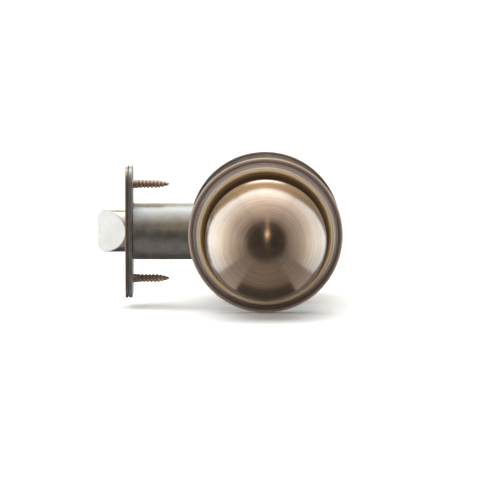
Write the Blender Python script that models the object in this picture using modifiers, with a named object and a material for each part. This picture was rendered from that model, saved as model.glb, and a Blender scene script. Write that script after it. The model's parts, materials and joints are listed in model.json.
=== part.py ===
"""Passage door-knob set: a ball knob and a round rose on each face of the door, and a tubular
spring latch between them.

Metres, +Z up. The origin is on the spindle's axis, halfway through the door. +X runs from the
door's latch edge towards its hinges, so the bolt points along -X. The exterior side is at -Y.
"""

import math

import bmesh
import bpy
import numpy as np
from mathutils import Matrix, Vector

MM = 0.001
STEPS = 32              # sides of a large turned piece
SMALL_STEPS = 16        # sides of a small turned piece
MERGE = 0.00001
GAP = 0.3 * MM          # between pieces that touch
EXTRA = 1.0 * MM        # how far a cutter runs past what it cuts

# The door
DOOR_THICKNESS = 44.45 * MM
BACKSET = 60.325 * MM   # spindle's axis to the door's edge

# Rose: heights are above the door's face
ROSE_RADIUS = 33.35 * MM
ROSE_WALL = 0.8 * MM
RIM_HEIGHT = 2.7 * MM
RIM_WIDTH = 1.95 * MM   # edge to the groove
GROOVE_HEIGHT = 2.3 * MM
RIDGE_SETBACK = 2.7 * MM        # groove to the ridge
RIDGE_HEIGHT = 8.5 * MM
RIDGE_BEAD = 1.0 * MM
COVE_HEIGHT = 5.6 * MM
COLLAR_HEIGHT = 7.0 * MM
COLLAR_GAP = 0.6 * MM

# Knob
KNOB_RADIUS = 25.8 * MM
KNOB_CENTRE_HEIGHT = 30.0 * MM
KNOB_WALL = 1.2 * MM
SEAM_DROP = 3.0 * MM    # dome's edge behind the widest circle
LIP_LENGTH = 4.0 * MM   # of the rear shell, inside the dome
NECK_RADIUS = 12.9 * MM
NECK_WALL = 1.0 * MM
NECK_STRAIGHT_TOP = 11.5 * MM
SHOULDER_REACH = 11.0 * MM
NECK_REACH = 8.0 * MM
CORE_WALL = 1.3 * MM
CORE_FLANGE_RADIUS = 17.0 * MM

# Shank and what turns or holds it
SHANK_WALL = 1.8 * MM
SHANK_DEPTH = 12.0 * MM         # behind the door's face
SOCKET_DEPTH = 6.5 * MM
SPINDLE_SIDE = 8.0 * MM
KEY_WIDTH = 2.4 * MM
KEY_DEPTH = 1.0 * MM
PLATE_THICKNESS = 1.2 * MM
BUSHING_WALL = 1.4 * MM
BUSHING_FLANGE_WIDTH = 2.5 * MM
BUSHING_FLANGE_THICKNESS = 1.5 * MM
BUSHING_DEPTH = 7.0 * MM        # behind the door's face
DRIVER_WIDTH = 4.2 * MM
DRIVER_THICKNESS = 1.4 * MM
DRIVER_LIP = 0.9 * MM   # of the arm past its tab
RING_THICKNESS = 1.0 * MM
RING_WIDTH = 2.7 * MM
RING_SLOT = 7.0 * MM

# Return spring, with the two tabs that its legs straddle
RETURN_WIRE_RADIUS = 0.6 * MM
RETURN_CLEARANCE = 0.8 * MM
RETURN_TURNS = 2
TAB_CLEARANCE = 1.7 * MM        # outside the coil
TAB_WIDTH = 2.2 * MM
TAB_HALF_WIDTH = 1.4 * MM
TAB_LENGTH = 3.2 * MM

# Posts and their screws, above and below the latch
POST_CLEARANCE = 0.95 * MM      # bushing's flange to a post's head
POST_RADIUS = 3.5 * MM
POST_NECK_RADIUS = 2.7 * MM
POST_HEAD_RADIUS = 3.9 * MM
POST_HEAD_HEIGHT = 1.2 * MM
POST_SHORTFALL = 4.7 * MM       # post's end to the far face of the door
POST_THREAD_DEPTH = 27.0 * MM
SCREW_RADIUS = 2.08 * MM
SCREW_HEAD_RADIUS = 3.8 * MM
SCREW_HEAD_HEIGHT = 2.3 * MM
SCREW_GRIP = 22.0 * MM          # length inside the post

# Motion
KNOB_TURN = math.radians(72.0)
THROW = 12.7 * MM

# Knob catch
CATCH_HEIGHT = 9.9 * MM
CATCH_RADIUS = 1.4 * MM
CATCH_FLANGE_RADIUS = 2.4 * MM
CATCH_FLANGE_THICKNESS = 1.0 * MM
CATCH_STRIP = 0.5 * MM
CATCH_STRIP_WIDTH = 3.0 * MM

# Latch: distances are from the spindle's axis towards the door's edge
FACEPLATE_PROUD = 0.5 * MM
FACEPLATE_HEIGHT = 57.15 * MM
FACEPLATE_WIDTH = 25.4 * MM
FACEPLATE_CORNER = 6.35 * MM
FACEPLATE_THICKNESS = 1.2 * MM
BACKPLATE_THICKNESS = 1.5 * MM
FACEPLATE_SCREW_OFFSET = 20.6 * MM
WOOD_SCREW_RADIUS = 1.9 * MM
WOOD_SCREW_HEAD_RADIUS = 3.9 * MM
WOOD_SCREW_LENGTH = 19.0 * MM
RECESS_LENGTH = 4.4 * MM
RECESS_WIDTH = 0.9 * MM
RECESS_DEPTH = 1.4 * MM
TUBE_CLEARANCE = 0.354 * MM     # round the bolt's back corners
TUBE_WALL = 0.7 * MM
TUBE_END = 31.0 * MM
STOP_FRONT = 36.0 * MM
STOP_THICKNESS = 1.5 * MM
BOLT_RADIUS = 9.3 * MM
BOLT_THICKNESS = 13.0 * MM
BOLT_CLEARANCE = 1.3 * MM       # to the stop, when drawn in
BOLT_TIP_LAND = 1.5 * MM        # flat left at the tip by the bevel
BOLT_CORNER = 3.5 * MM
CAVITY_RADIUS = 5.2 * MM
CAVITY_DEPTH = 8.5 * MM
TAIL_RADIUS = 2.2 * MM
TAIL_GRIP = 4.0 * MM
BOLT_WIRE_RADIUS = 0.4 * MM
BOLT_COIL_RADIUS = 4.2 * MM
BOLT_TURNS = 7
SIDE_THICKNESS = 1.2 * MM
SIDE_INNER = 5.6 * MM           # from the latch's middle plane
SIDE_MARGIN = 0.1 * MM          # past the yoke's edge
TONGUE_CLEARANCE = 0.52 * MM    # inside the tube
SIDE_CHAMFER = 3.0 * MM
RIVET_RADIUS = 1.2 * MM
RIVET_HEAD_RADIUS = 1.9 * MM
RIVET_HEAD_THICKNESS = 0.6 * MM
FRONT_RIVET_SETBACK = 2.3 * MM  # behind the tube's end
FRONT_RIVET_OFFSET = 7.8 * MM
REAR_RIVET_SETBACK = 2.5 * MM   # from the side plates' rear end
REAR_RIVET_CLEARANCE = 1.3 * MM # behind the yoke, when drawn in
REAR_RIVET_OFFSET = 7.0 * MM
YOKE_STRIP = 1.2 * MM
CROSSBAR_CLEARANCE = 1.4 * MM   # outside the hub
CROSSBAR_OVERLAP = 0.4 * MM     # below the arm's tip, where that is higher
YOKE_REAR_BAND = 2.5 * MM
WEB_FRONT = 31.0 * MM
WEB_LENGTH = 6.0 * MM
WEB_HALF_HEIGHT = 6.0 * MM
CROSSBAR_THICKNESS = 2.2 * MM
CROSSBAR_HEIGHT = 2.0 * MM
HUB_WALL = 0.919 * MM           # at the square hole's corners
ARM_TIP_RADIUS = 1.6 * MM
ARM_HALF_WIDTH = 1.0 * MM

# Worked out from the sizes above
SHANK_RADIUS = NECK_RADIUS - NECK_WALL - GAP - CORE_WALL - GAP
SHANK_BORE = SHANK_RADIUS - SHANK_WALL
CORE_RADIUS = SHANK_RADIUS + GAP + CORE_WALL
BUSHING_RADIUS = SHANK_RADIUS + GAP + BUSHING_WALL
BUSHING_BASE = PLATE_THICKNESS + GAP
BUSHING_TOP = BUSHING_BASE + BUSHING_FLANGE_THICKNESS
NECK_END = BUSHING_TOP + GAP
GROOVE_RADIUS = ROSE_RADIUS - RIM_WIDTH
RIDGE_RADIUS = GROOVE_RADIUS - RIDGE_SETBACK
PLATE_RADIUS = ROSE_RADIUS - ROSE_WALL - GAP
COIL_RADIUS = BUSHING_RADIUS + RETURN_CLEARANCE + RETURN_WIRE_RADIUS
TAB_LOW_RADIUS = COIL_RADIUS + RETURN_WIRE_RADIUS + TAB_CLEARANCE
TAB_HIGH_RADIUS = TAB_LOW_RADIUS + TAB_WIDTH
DRIVER_REACH = TAB_HIGH_RADIUS + DRIVER_LIP
POST_OFFSET = BUSHING_RADIUS + BUSHING_FLANGE_WIDTH + POST_CLEARANCE + POST_HEAD_RADIUS
DRIVER_TOP = -(BUSHING_DEPTH + GAP)
DRIVER_BASE = DRIVER_TOP - DRIVER_THICKNESS
RING_TOP = DRIVER_BASE - GAP
RING_BASE = RING_TOP - RING_THICKNESS
GROOVE_BOTTOM = SHANK_RADIUS - KEY_DEPTH
SOCKET_SIDE = SPINDLE_SIDE + 2 * GAP
SOCKET_TOP = -SHANK_DEPTH + SOCKET_DEPTH
SPINDLE_LENGTH = DOOR_THICKNESS + 2 * SOCKET_TOP
# The driver's arm meets a post just past the end of the knob's turn.
DRIVER_ARM_HALF_WIDTH = POST_OFFSET * math.cos(KNOB_TURN) - POST_RADIUS - GAP
ARM_LENGTH = THROW / 2 / math.sin(KNOB_TURN / 2)
YOKE_OUTER = SIDE_INNER - GAP
YOKE_INNER = YOKE_OUTER - YOKE_STRIP
ARM_HALF_THICKNESS = YOKE_INNER - 0.5 * MM
HUB_RADIUS = SOCKET_SIDE / 2 * math.sqrt(2) + HUB_WALL
SLOT_HALF_HEIGHT = HUB_RADIUS + GAP
YOKE_REAR = SLOT_HALF_HEIGHT + YOKE_REAR_BAND
CROSSBAR_BASE = max(
    HUB_RADIUS + CROSSBAR_CLEARANCE, ARM_LENGTH * math.cos(KNOB_TURN / 2) - CROSSBAR_OVERLAP
)
YOKE_HALF_HEIGHT = CROSSBAR_BASE + CROSSBAR_HEIGHT
SIDE_HALF_HEIGHT = YOKE_HALF_HEIGHT + SIDE_MARGIN
REAR_RIVET_PLACE = YOKE_REAR + THROW + REAR_RIVET_CLEARANCE + RIVET_RADIUS
SIDE_REAR = REAR_RIVET_PLACE + REAR_RIVET_SETBACK
BOLT_REAR = STOP_FRONT + THROW + BOLT_CLEARANCE
CAVITY_END = BOLT_REAR + CAVITY_DEPTH
TUBE_INNER = math.hypot(BOLT_RADIUS, BOLT_THICKNESS / 2) + TUBE_CLEARANCE
TUBE_RADIUS = TUBE_INNER + TUBE_WALL
TONGUE_HALF_HEIGHT = math.sqrt(TUBE_INNER**2 - (SIDE_INNER + SIDE_THICKNESS) ** 2) - TONGUE_CLEARANCE
FACE = BACKSET + FACEPLATE_PROUD
FACEPLATE_BACK = FACE - FACEPLATE_THICKNESS
BACKPLATE_FACE = FACEPLATE_BACK - GAP
BACKPLATE_BACK = BACKPLATE_FACE - BACKPLATE_THICKNESS
TUBE_FACE = BACKPLATE_BACK - GAP
BOLT_TIP = FACE + THROW
SIDE_FRONT = STOP_FRONT - STOP_THICKNESS - GAP

# Turns that carry a piece's own Z axis somewhere else
OUT_EXTERIOR = (math.pi / 2, 0, 0)      # Z to -Y
OUT_INTERIOR = (-math.pi / 2, 0, 0)     # Z to +Y
OUT_LATCH = (0, -math.pi / 2, 0)        # Z to -X, and X to +Z
THROUGH_LATCH = (math.pi / 2, 0, math.pi / 2)   # X to Y, Y to Z, and Z to X

FINISHES = {
    "antique_brass": ((0.46, 0.33, 0.20), 0.32, 1.0),
    "zinc_steel": ((0.62, 0.62, 0.60), 0.42, 1.0),
    "dark_steel": ((0.30, 0.30, 0.31), 0.45, 1.0),
    "bright_nickel": ((0.80, 0.79, 0.77), 0.18, 1.0),
    "spring_steel": ((0.45, 0.45, 0.46), 0.30, 1.0),
    "sintered_brass": ((0.66, 0.52, 0.28), 0.50, 1.0),
    "white_nylon": ((0.85, 0.84, 0.80), 0.55, 0.0),
}


# ---------------------------------------------------------------- general helpers


def clear_scene():
    for obj in list(bpy.data.objects):
        bpy.data.objects.remove(obj, do_unlink=True)


def collection(name):
    found = bpy.data.collections.new(name)
    bpy.context.scene.collection.children.link(found)
    return found


def finish(name):
    """The Principled material of this name, made once."""
    if name in bpy.data.materials:
        return bpy.data.materials[name]
    colour, roughness, metallic = FINISHES[name]
    made = bpy.data.materials.new(name)
    made.use_nodes = True
    shader = made.node_tree.nodes["Principled BSDF"]
    shader.inputs["Base Color"].default_value = (*colour, 1.0)
    shader.inputs["Roughness"].default_value = roughness
    shader.inputs["Metallic"].default_value = metallic
    made.diffuse_color = (*colour, 1.0)
    return made


def axis_frame(name, location, rotation):
    """An empty that carries the pieces built along one axis."""
    empty = bpy.data.objects.new(name, None)
    empty.empty_display_size = 10 * MM
    empty.location = location
    empty.rotation_euler = rotation
    parts.objects.link(empty)
    return empty


def place(obj, parent, finish_name, location=(0, 0, 0), rotation=(0, 0, 0)):
    """Puts a finished piece in its frame, with its own material."""
    parts.objects.link(obj)
    obj.parent = parent
    obj.location = location
    obj.rotation_euler = rotation
    obj.data.materials.append(finish(finish_name))
    return obj


def helper(obj, parent, location=(0, 0, 0), rotation=(0, 0, 0)):
    """Puts a cutter, or a shape to be joined, in its frame, out of sight."""
    cutters.objects.link(obj)
    obj.parent = parent
    obj.location = location
    obj.rotation_euler = rotation
    obj.hide_render = True
    obj.display_type = "WIRE"
    return obj


def boolean(obj, other, operation):
    modifier = obj.modifiers.new(other.name, "BOOLEAN")
    modifier.operation = operation
    modifier.solver = "EXACT"
    modifier.object = other


def cut(obj, *tools):
    for tool in tools:
        boolean(obj, tool, "DIFFERENCE")


def join(obj, *others):
    for other in others:
        boolean(obj, other, "UNION")


# ---------------------------------------------------------------- shapes


def turned(name, profile, closed=True, steps=STEPS):
    """A solid turned about Z from (radius, height) points that run down its outer side."""
    count = len(profile)
    edges = [(i, i + 1) for i in range(count - 1)]
    if closed:
        edges.append((count - 1, 0))
    mesh = bpy.data.meshes.new(name)
    mesh.from_pydata([(radius, 0.0, height) for radius, height in profile], edges, [])
    obj = bpy.data.objects.new(name, mesh)
    screw = obj.modifiers.new("Turn", "SCREW")
    screw.steps = steps
    screw.render_steps = steps
    screw.use_merge_vertices = True
    screw.merge_threshold = MERGE
    screw.use_smooth_shade = True
    return obj


def turned_shell(name, profile, wall):
    """An open turned surface given a wall on its inner side."""
    obj = turned(name, profile, closed=False)
    solidify = obj.modifiers.new("Wall", "SOLIDIFY")
    solidify.thickness = wall
    solidify.offset = -1
    solidify.use_even_offset = True
    return obj


def from_bmesh(name, bm):
    mesh = bpy.data.meshes.new(name)
    bm.to_mesh(mesh)
    bm.free()
    return bpy.data.objects.new(name, mesh)


def box(name, low, high):
    """A box between two corners."""
    low, high = Vector(low), Vector(high)
    bm = bmesh.new()
    where = Matrix.Translation((low + high) / 2) @ Matrix.Diagonal((*(high - low), 1))
    bmesh.ops.create_cube(bm, size=1.0, matrix=where)
    return from_bmesh(name, bm)


def rod(name, radius, low, high, steps=SMALL_STEPS, top_radius=None):
    """A cylinder along Z between two heights, or a cone where top_radius differs."""
    bm = bmesh.new()
    bmesh.ops.create_cone(
        bm,
        cap_ends=True,
        segments=steps,
        radius1=radius,
        radius2=radius if top_radius is None else top_radius,
        depth=high - low,
        matrix=Matrix.Translation((0, 0, (low + high) / 2)),
    )
    return from_bmesh(name, bm)


def arc(radius, start, end, count, centre=(0.0, 0.0)):
    """Points of a circular arc, with its angles in degrees."""
    angles = np.radians(np.linspace(start, end, count))
    return [(centre[0] + radius * math.cos(a), centre[1] + radius * math.sin(a)) for a in angles]


def rounded_rectangle(half_width, half_height, corner, count=5):
    """Points round a rectangle with round corners."""
    points = []
    for turn, (side, top) in enumerate(((1, 1), (-1, 1), (-1, -1), (1, -1))):
        centre = (side * (half_width - corner), top * (half_height - corner))
        points += arc(corner, 90 * turn, 90 * turn + 90, count, centre)
    return points


def d_outline(margin=0.0):
    """The bolt's section: a half circle on the exterior side and a flat back."""
    radius = BOLT_RADIUS + margin
    back = BOLT_THICKNESS / 2 + margin
    centre = (0.0, BOLT_RADIUS - BOLT_THICKNESS / 2)
    return [(radius, back), *arc(radius, 0, -180, 17, centre), (-radius, back)]


def flat(name, outlines, low, high):
    """A flat solid between two heights along Z: the first outline, less the holes after it."""
    curve = bpy.data.curves.new(name, "CURVE")
    curve.dimensions = "2D"
    curve.fill_mode = "BOTH"
    curve.extrude = (high - low) / 2
    for outline in outlines:
        spline = curve.splines.new("POLY")
        spline.points.add(len(outline) - 1)
        for point, (x, y) in zip(spline.points, outline):
            point.co = (x, y, 0.0, 1.0)
        spline.use_cyclic_u = True
    source = bpy.data.objects.new(name + "_outline", curve)
    source.location = (0, 0, (low + high) / 2)
    cutters.objects.link(source)
    bpy.context.view_layer.update()
    mesh = bpy.data.meshes.new_from_object(
        source.evaluated_get(bpy.context.evaluated_depsgraph_get())
    )
    mesh.transform(source.matrix_world)
    bpy.data.objects.remove(source, do_unlink=True)
    bm = bmesh.new()
    bm.from_mesh(mesh)
    bmesh.ops.remove_doubles(bm, verts=bm.verts, dist=MERGE)
    bmesh.ops.recalc_face_normals(bm, faces=bm.faces)
    bpy.data.meshes.remove(mesh)
    return from_bmesh(name, bm)


def wire(name, points, radius):
    """A round wire along points, as a curve with filled ends."""
    curve = bpy.data.curves.new(name, "CURVE")
    curve.dimensions = "3D"
    curve.bevel_depth = radius
    curve.bevel_resolution = 2
    curve.use_fill_caps = True
    spline = curve.splines.new("POLY")
    spline.points.add(len(points) - 1)
    for point, place_at in zip(spline.points, points):
        point.co = (*place_at, 1.0)
    return bpy.data.objects.new(name, curve)


def recess(name, parent, location, top):
    """Two crossed slots sunk in a screw's head, whose top is at this height."""
    slots = []
    for turn, label in enumerate(("a", "b")):
        half = (RECESS_LENGTH / 2, RECESS_WIDTH / 2)[:: 1 if turn == 0 else -1]
        slot = box(
            f"{name}_slot_{label}",
            (-half[0], -half[1], top - RECESS_DEPTH),
            (half[0], half[1], top + EXTRA),
        )
        slots.append(helper(slot, parent, location))
    return slots


# ---------------------------------------------------------------- one side of the door


def dome_profile():
    """From the outer apex down over the widest circle to the edge, and back up inside."""
    inner = KNOB_RADIUS - KNOB_WALL
    centre = (0.0, KNOB_CENTRE_HEIGHT)
    outer_end = -math.degrees(math.asin(SEAM_DROP / KNOB_RADIUS))
    inner_end = -math.degrees(math.asin(SEAM_DROP / inner))
    profile = arc(KNOB_RADIUS, 90, 0, 10, centre) + arc(KNOB_RADIUS, outer_end, outer_end, 1, centre)
    profile += arc(inner, inner_end, 90, 7, centre)
    profile[0] = (0.0, KNOB_CENTRE_HEIGHT + KNOB_RADIUS)
    profile[-1] = (0.0, KNOB_CENTRE_HEIGHT + inner)
    return profile


def rear_shell_curve():
    """The rear shell's outer line, from its lip inside the dome to its neck's end."""
    seam = KNOB_CENTRE_HEIGHT - SEAM_DROP
    inner = KNOB_RADIUS - KNOB_WALL
    lip = math.sqrt(inner**2 - SEAM_DROP**2) - GAP
    bezier = (
        np.array([lip, seam]),
        np.array([lip - 1.4 * MM, seam - SHOULDER_REACH]),
        np.array([NECK_RADIUS, NECK_STRAIGHT_TOP + NECK_REACH]),
        np.array([NECK_RADIUS, NECK_STRAIGHT_TOP]),
    )
    points = [(lip, seam + LIP_LENGTH)]
    for t in np.linspace(0, 1, 8):
        weights = ((1 - t) ** 3, 3 * t * (1 - t) ** 2, 3 * t**2 * (1 - t), t**3)
        radius, height = sum(w * p for w, p in zip(weights, bezier))
        points.append((float(radius), float(height)))
    points.append((NECK_RADIUS, NECK_END))
    return points


def core_flange_base():
    """The height at which the core's flange rests inside the rear shell's shoulder."""
    heights, radii = [], []
    for radius, height in reversed(rear_shell_curve()[1:-1]):
        radii.append(radius)
        heights.append(height)
    shoulder = float(np.interp(CORE_FLANGE_RADIUS + NECK_WALL, radii, heights))
    return shoulder + NECK_WALL + GAP


def rose_profile():
    """From the collar down through the cove, over the ridge and out to the rim."""
    collar = NECK_RADIUS + COLLAR_GAP
    bead_centre = (RIDGE_RADIUS, RIDGE_HEIGHT - RIDGE_BEAD)
    ridge_inner = RIDGE_RADIUS - RIDGE_BEAD
    foot = GROOVE_RADIUS - 0.5 * MM
    return [
        (collar, COLLAR_HEIGHT),
        (collar + 1.4 * MM, COVE_HEIGHT + 0.6 * MM),
        (collar + 3.6 * MM, COVE_HEIGHT),
        (ridge_inner - 3.4 * MM, COVE_HEIGHT),
        (ridge_inner - 1.2 * MM, COVE_HEIGHT + 0.7 * MM),
        *arc(RIDGE_BEAD, 180, 0, 5, bead_centre),
        (RIDGE_RADIUS + RIDGE_BEAD + 0.5 * MM, (RIDGE_HEIGHT + GROOVE_HEIGHT) / 2 - 0.4 * MM),
        (foot, GROOVE_HEIGHT + 0.4 * MM),
        (GROOVE_RADIUS, GROOVE_HEIGHT),
        (ROSE_RADIUS - 0.9 * MM, RIM_HEIGHT),
        (ROSE_RADIUS - 0.25 * MM, RIM_HEIGHT - 0.3 * MM),
        (ROSE_RADIUS, RIM_HEIGHT - 1.0 * MM),
        (ROSE_RADIUS, 0.0),
    ]


def make_knob(side, turning):
    """Dome, rear shell and core of one knob."""
    place(turned(f"{side}_knob_dome", dome_profile(), closed=False), turning, "antique_brass")
    rear = turned_shell(f"{side}_knob_rear_shell", rear_shell_curve(), NECK_WALL)
    place(rear, turning, "antique_brass")
    flange = core_flange_base()
    core = turned(
        f"{side}_knob_core",
        [
            (CORE_FLANGE_RADIUS, flange + CORE_WALL),
            (CORE_FLANGE_RADIUS, flange),
            (CORE_RADIUS, flange),
            (CORE_RADIUS, NECK_END),
            (SHANK_RADIUS + GAP, NECK_END),
            (SHANK_RADIUS + GAP, flange + CORE_WALL),
        ],
    )
    place(core, turning, "zinc_steel")
    return rear, core


def make_shank(side, turning):
    """The shank: a tube with a square socket, two keyways and a groove for the ring."""
    top = core_flange_base() + CORE_WALL
    shank = turned(
        f"{side}_shank",
        [
            (0.0, SOCKET_TOP),
            (SHANK_BORE, SOCKET_TOP),
            (SHANK_BORE, top),
            (SHANK_RADIUS, top),
            (SHANK_RADIUS, RING_TOP + GAP),
            (GROOVE_BOTTOM, RING_TOP + GAP),
            (GROOVE_BOTTOM, RING_BASE - GAP),
            (SHANK_RADIUS, RING_BASE - GAP),
            (SHANK_RADIUS, -SHANK_DEPTH),
            (0.0, -SHANK_DEPTH),
        ],
        closed=False,
    )
    place(shank, turning, "zinc_steel")
    half = SOCKET_SIDE / 2
    socket = box(
        f"{side}_socket_cutter",
        (-half, -half, -SHANK_DEPTH - EXTRA),
        (half, half, SOCKET_TOP + EXTRA),
    )
    cut(shank, helper(socket, turning))
    for label, way in (("upper", 1), ("lower", -1)):
        inner, outer = sorted((way * GROOVE_BOTTOM, way * (SHANK_RADIUS + EXTRA)))
        keyway = box(
            f"{side}_{label}_keyway_cutter",
            (-KEY_WIDTH / 2 - GAP, inner, -SHANK_DEPTH - EXTRA),
            (KEY_WIDTH / 2 + GAP, outer, DRIVER_TOP + GAP),
        )
        cut(shank, helper(keyway, turning))
    return shank


def make_driver(side, turning):
    """The spring driver: a keyed washer with an arm, and a tab bent up between the legs."""
    bore = SHANK_RADIUS + GAP
    rim = bore + DRIVER_WIDTH
    driver = turned(
        f"{side}_spring_driver",
        [(rim, DRIVER_TOP), (rim, DRIVER_BASE), (bore, DRIVER_BASE), (bore, DRIVER_TOP)],
    )
    place(driver, turning, "dark_steel")
    arm = box(
        f"{side}_driver_arm",
        ((bore + rim) / 2, -DRIVER_ARM_HALF_WIDTH, DRIVER_BASE),
        (DRIVER_REACH, DRIVER_ARM_HALF_WIDTH, DRIVER_TOP),
    )
    tab = box(
        f"{side}_driver_tab",
        (TAB_LOW_RADIUS, -TAB_HALF_WIDTH, DRIVER_BASE + DRIVER_THICKNESS / 2),
        (TAB_HIGH_RADIUS, TAB_HALF_WIDTH, DRIVER_TOP + TAB_LENGTH),
    )
    join(driver, helper(arm, turning), helper(tab, turning))
    for label, way in (("upper", 1), ("lower", -1)):
        inner, outer = sorted((way * (GROOVE_BOTTOM + GAP), way * (bore + DRIVER_WIDTH / 2)))
        key = box(
            f"{side}_{label}_driver_key",
            (-KEY_WIDTH / 2, inner, DRIVER_BASE),
            (KEY_WIDTH / 2, outer, DRIVER_TOP),
        )
        join(driver, helper(key, turning))


def make_retaining_ring(side, turning):
    """An open ring that snaps into the shank's groove."""
    inner = GROOVE_BOTTOM + GAP
    outer = inner + RING_WIDTH
    ring = turned(
        f"{side}_retaining_ring",
        [(outer, RING_TOP), (outer, RING_BASE), (inner, RING_BASE), (inner, RING_TOP)],
    )
    place(ring, turning, "spring_steel")
    slot = box(
        f"{side}_ring_slot_cutter",
        (-outer - EXTRA, -RING_SLOT / 2, RING_BASE - EXTRA),
        (0.0, RING_SLOT / 2, RING_TOP + EXTRA),
    )
    cut(ring, helper(slot, turning))


def make_bushing(side, fixed):
    inner = SHANK_RADIUS + GAP
    flange = BUSHING_RADIUS + BUSHING_FLANGE_WIDTH
    bushing = turned(
        f"{side}_bushing",
        [
            (flange, BUSHING_TOP),
            (flange, BUSHING_BASE),
            (BUSHING_RADIUS, BUSHING_BASE),
            (BUSHING_RADIUS, -BUSHING_DEPTH),
            (inner, -BUSHING_DEPTH),
            (inner, BUSHING_TOP),
        ],
    )
    place(bushing, fixed, "white_nylon")


def make_mounting_plate(side, fixed, hole_radius):
    """The plate that bears on the door, with the tab that holds the spring's legs."""
    bore = BUSHING_RADIUS + GAP
    plate = turned(
        f"{side}_mounting_plate",
        [(PLATE_RADIUS, PLATE_THICKNESS), (PLATE_RADIUS, 0.0), (bore, 0.0), (bore, PLATE_THICKNESS)],
    )
    place(plate, fixed, "zinc_steel")
    tab = box(
        f"{side}_plate_tab",
        (TAB_LOW_RADIUS, -TAB_HALF_WIDTH, -TAB_LENGTH),
        (TAB_HIGH_RADIUS, TAB_HALF_WIDTH, PLATE_THICKNESS / 2),
    )
    join(plate, helper(tab, fixed))
    for label, way in (("upper", 1), ("lower", -1)):
        hole = rod(f"{side}_{label}_hole_cutter", hole_radius, -EXTRA, PLATE_THICKNESS + EXTRA)
        cut(plate, helper(hole, fixed, (0, way * POST_OFFSET, 0)))


def make_return_spring(side, fixed):
    """A torsion spring round the bushing, whose legs lie along both sides of the two tabs."""
    top = -2 * RETURN_WIRE_RADIUS
    base = DRIVER_TOP + 2.4 * RETURN_WIRE_RADIUS
    leg_offset = TAB_HALF_WIDTH + GAP + RETURN_WIRE_RADIUS
    leg_radius = (TAB_LOW_RADIUS + TAB_HIGH_RADIUS) / 2
    start = math.asin(leg_offset / COIL_RADIUS)
    sweep = 2 * math.pi * RETURN_TURNS - 2 * start
    points = [(leg_radius, leg_offset, base), (leg_radius, leg_offset, top)]
    for t in np.linspace(0, 1, 12 * RETURN_TURNS):
        angle = start + sweep * t
        height = top + (base - top) * t
        points.append((COIL_RADIUS * math.cos(angle), COIL_RADIUS * math.sin(angle), height))
    points += [(leg_radius, -leg_offset, base), (leg_radius, -leg_offset, top)]
    place(wire(f"{side}_return_spring", points, RETURN_WIRE_RADIUS), fixed, "spring_steel")


def make_rose(side, fixed):
    rose = turned_shell(f"{side}_rose", rose_profile(), ROSE_WALL)
    place(rose, fixed, "antique_brass")


def make_side(side, fixed, turning, hole_radius):
    """Everything that both sides of the door have."""
    rear, core = make_knob(side, turning)
    shank = make_shank(side, turning)
    make_driver(side, turning)
    make_retaining_ring(side, turning)
    make_bushing(side, fixed)
    make_mounting_plate(side, fixed, hole_radius)
    make_return_spring(side, fixed)
    make_rose(side, fixed)
    return rear, core, shank


def make_spindle(turning):
    """The square bar, fixed in the exterior shank and loose in the interior one."""
    half = SPINDLE_SIDE / 2
    spindle = box("spindle", (-half, -half, SOCKET_TOP - SPINDLE_LENGTH), (half, half, SOCKET_TOP))
    place(spindle, turning, "dark_steel")


def make_posts(fixed):
    """Two threaded posts riveted through the exterior plate."""
    end = -(DOOR_THICKNESS - POST_SHORTFALL)
    bore = SCREW_RADIUS + GAP
    for label, way in (("upper", 1), ("lower", -1)):
        post = turned(
            f"{label}_mounting_post",
            [
                (0.0, BUSHING_BASE + POST_HEAD_HEIGHT),
                (POST_HEAD_RADIUS - 0.4 * MM, BUSHING_BASE + POST_HEAD_HEIGHT),
                (POST_HEAD_RADIUS, BUSHING_BASE + POST_HEAD_HEIGHT / 2),
                (POST_HEAD_RADIUS, BUSHING_BASE),
                (POST_NECK_RADIUS, BUSHING_BASE),
                (POST_NECK_RADIUS, -GAP),
                (POST_RADIUS, -GAP),
                (POST_RADIUS, end),
                (bore, end),
                (bore, end + POST_THREAD_DEPTH),
                (0.0, end + POST_THREAD_DEPTH),
            ],
            closed=False,
            steps=SMALL_STEPS,
        )
        place(post, fixed, "zinc_steel", (0, way * POST_OFFSET, 0))


def make_mounting_screws(fixed):
    """Two screws through the interior plate into the posts."""
    base = BUSHING_BASE
    end = -(POST_SHORTFALL + SCREW_GRIP)
    top = base + SCREW_HEAD_HEIGHT
    for label, way in (("upper", 1), ("lower", -1)):
        where = (0, way * POST_OFFSET, 0)
        screw = turned(
            f"{label}_mounting_screw",
            [
                (0.0, top),
                (SCREW_HEAD_RADIUS * 0.7, top - 0.2 * MM),
                (SCREW_HEAD_RADIUS, base + SCREW_HEAD_HEIGHT / 2),
                (SCREW_HEAD_RADIUS, base),
                (SCREW_RADIUS, base),
                (SCREW_RADIUS, end),
                (0.0, end),
            ],
            closed=False,
            steps=SMALL_STEPS,
        )
        place(screw, fixed, "zinc_steel", where)
        cut(screw, *recess(f"{label}_mounting_screw", fixed, where, top))


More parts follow.
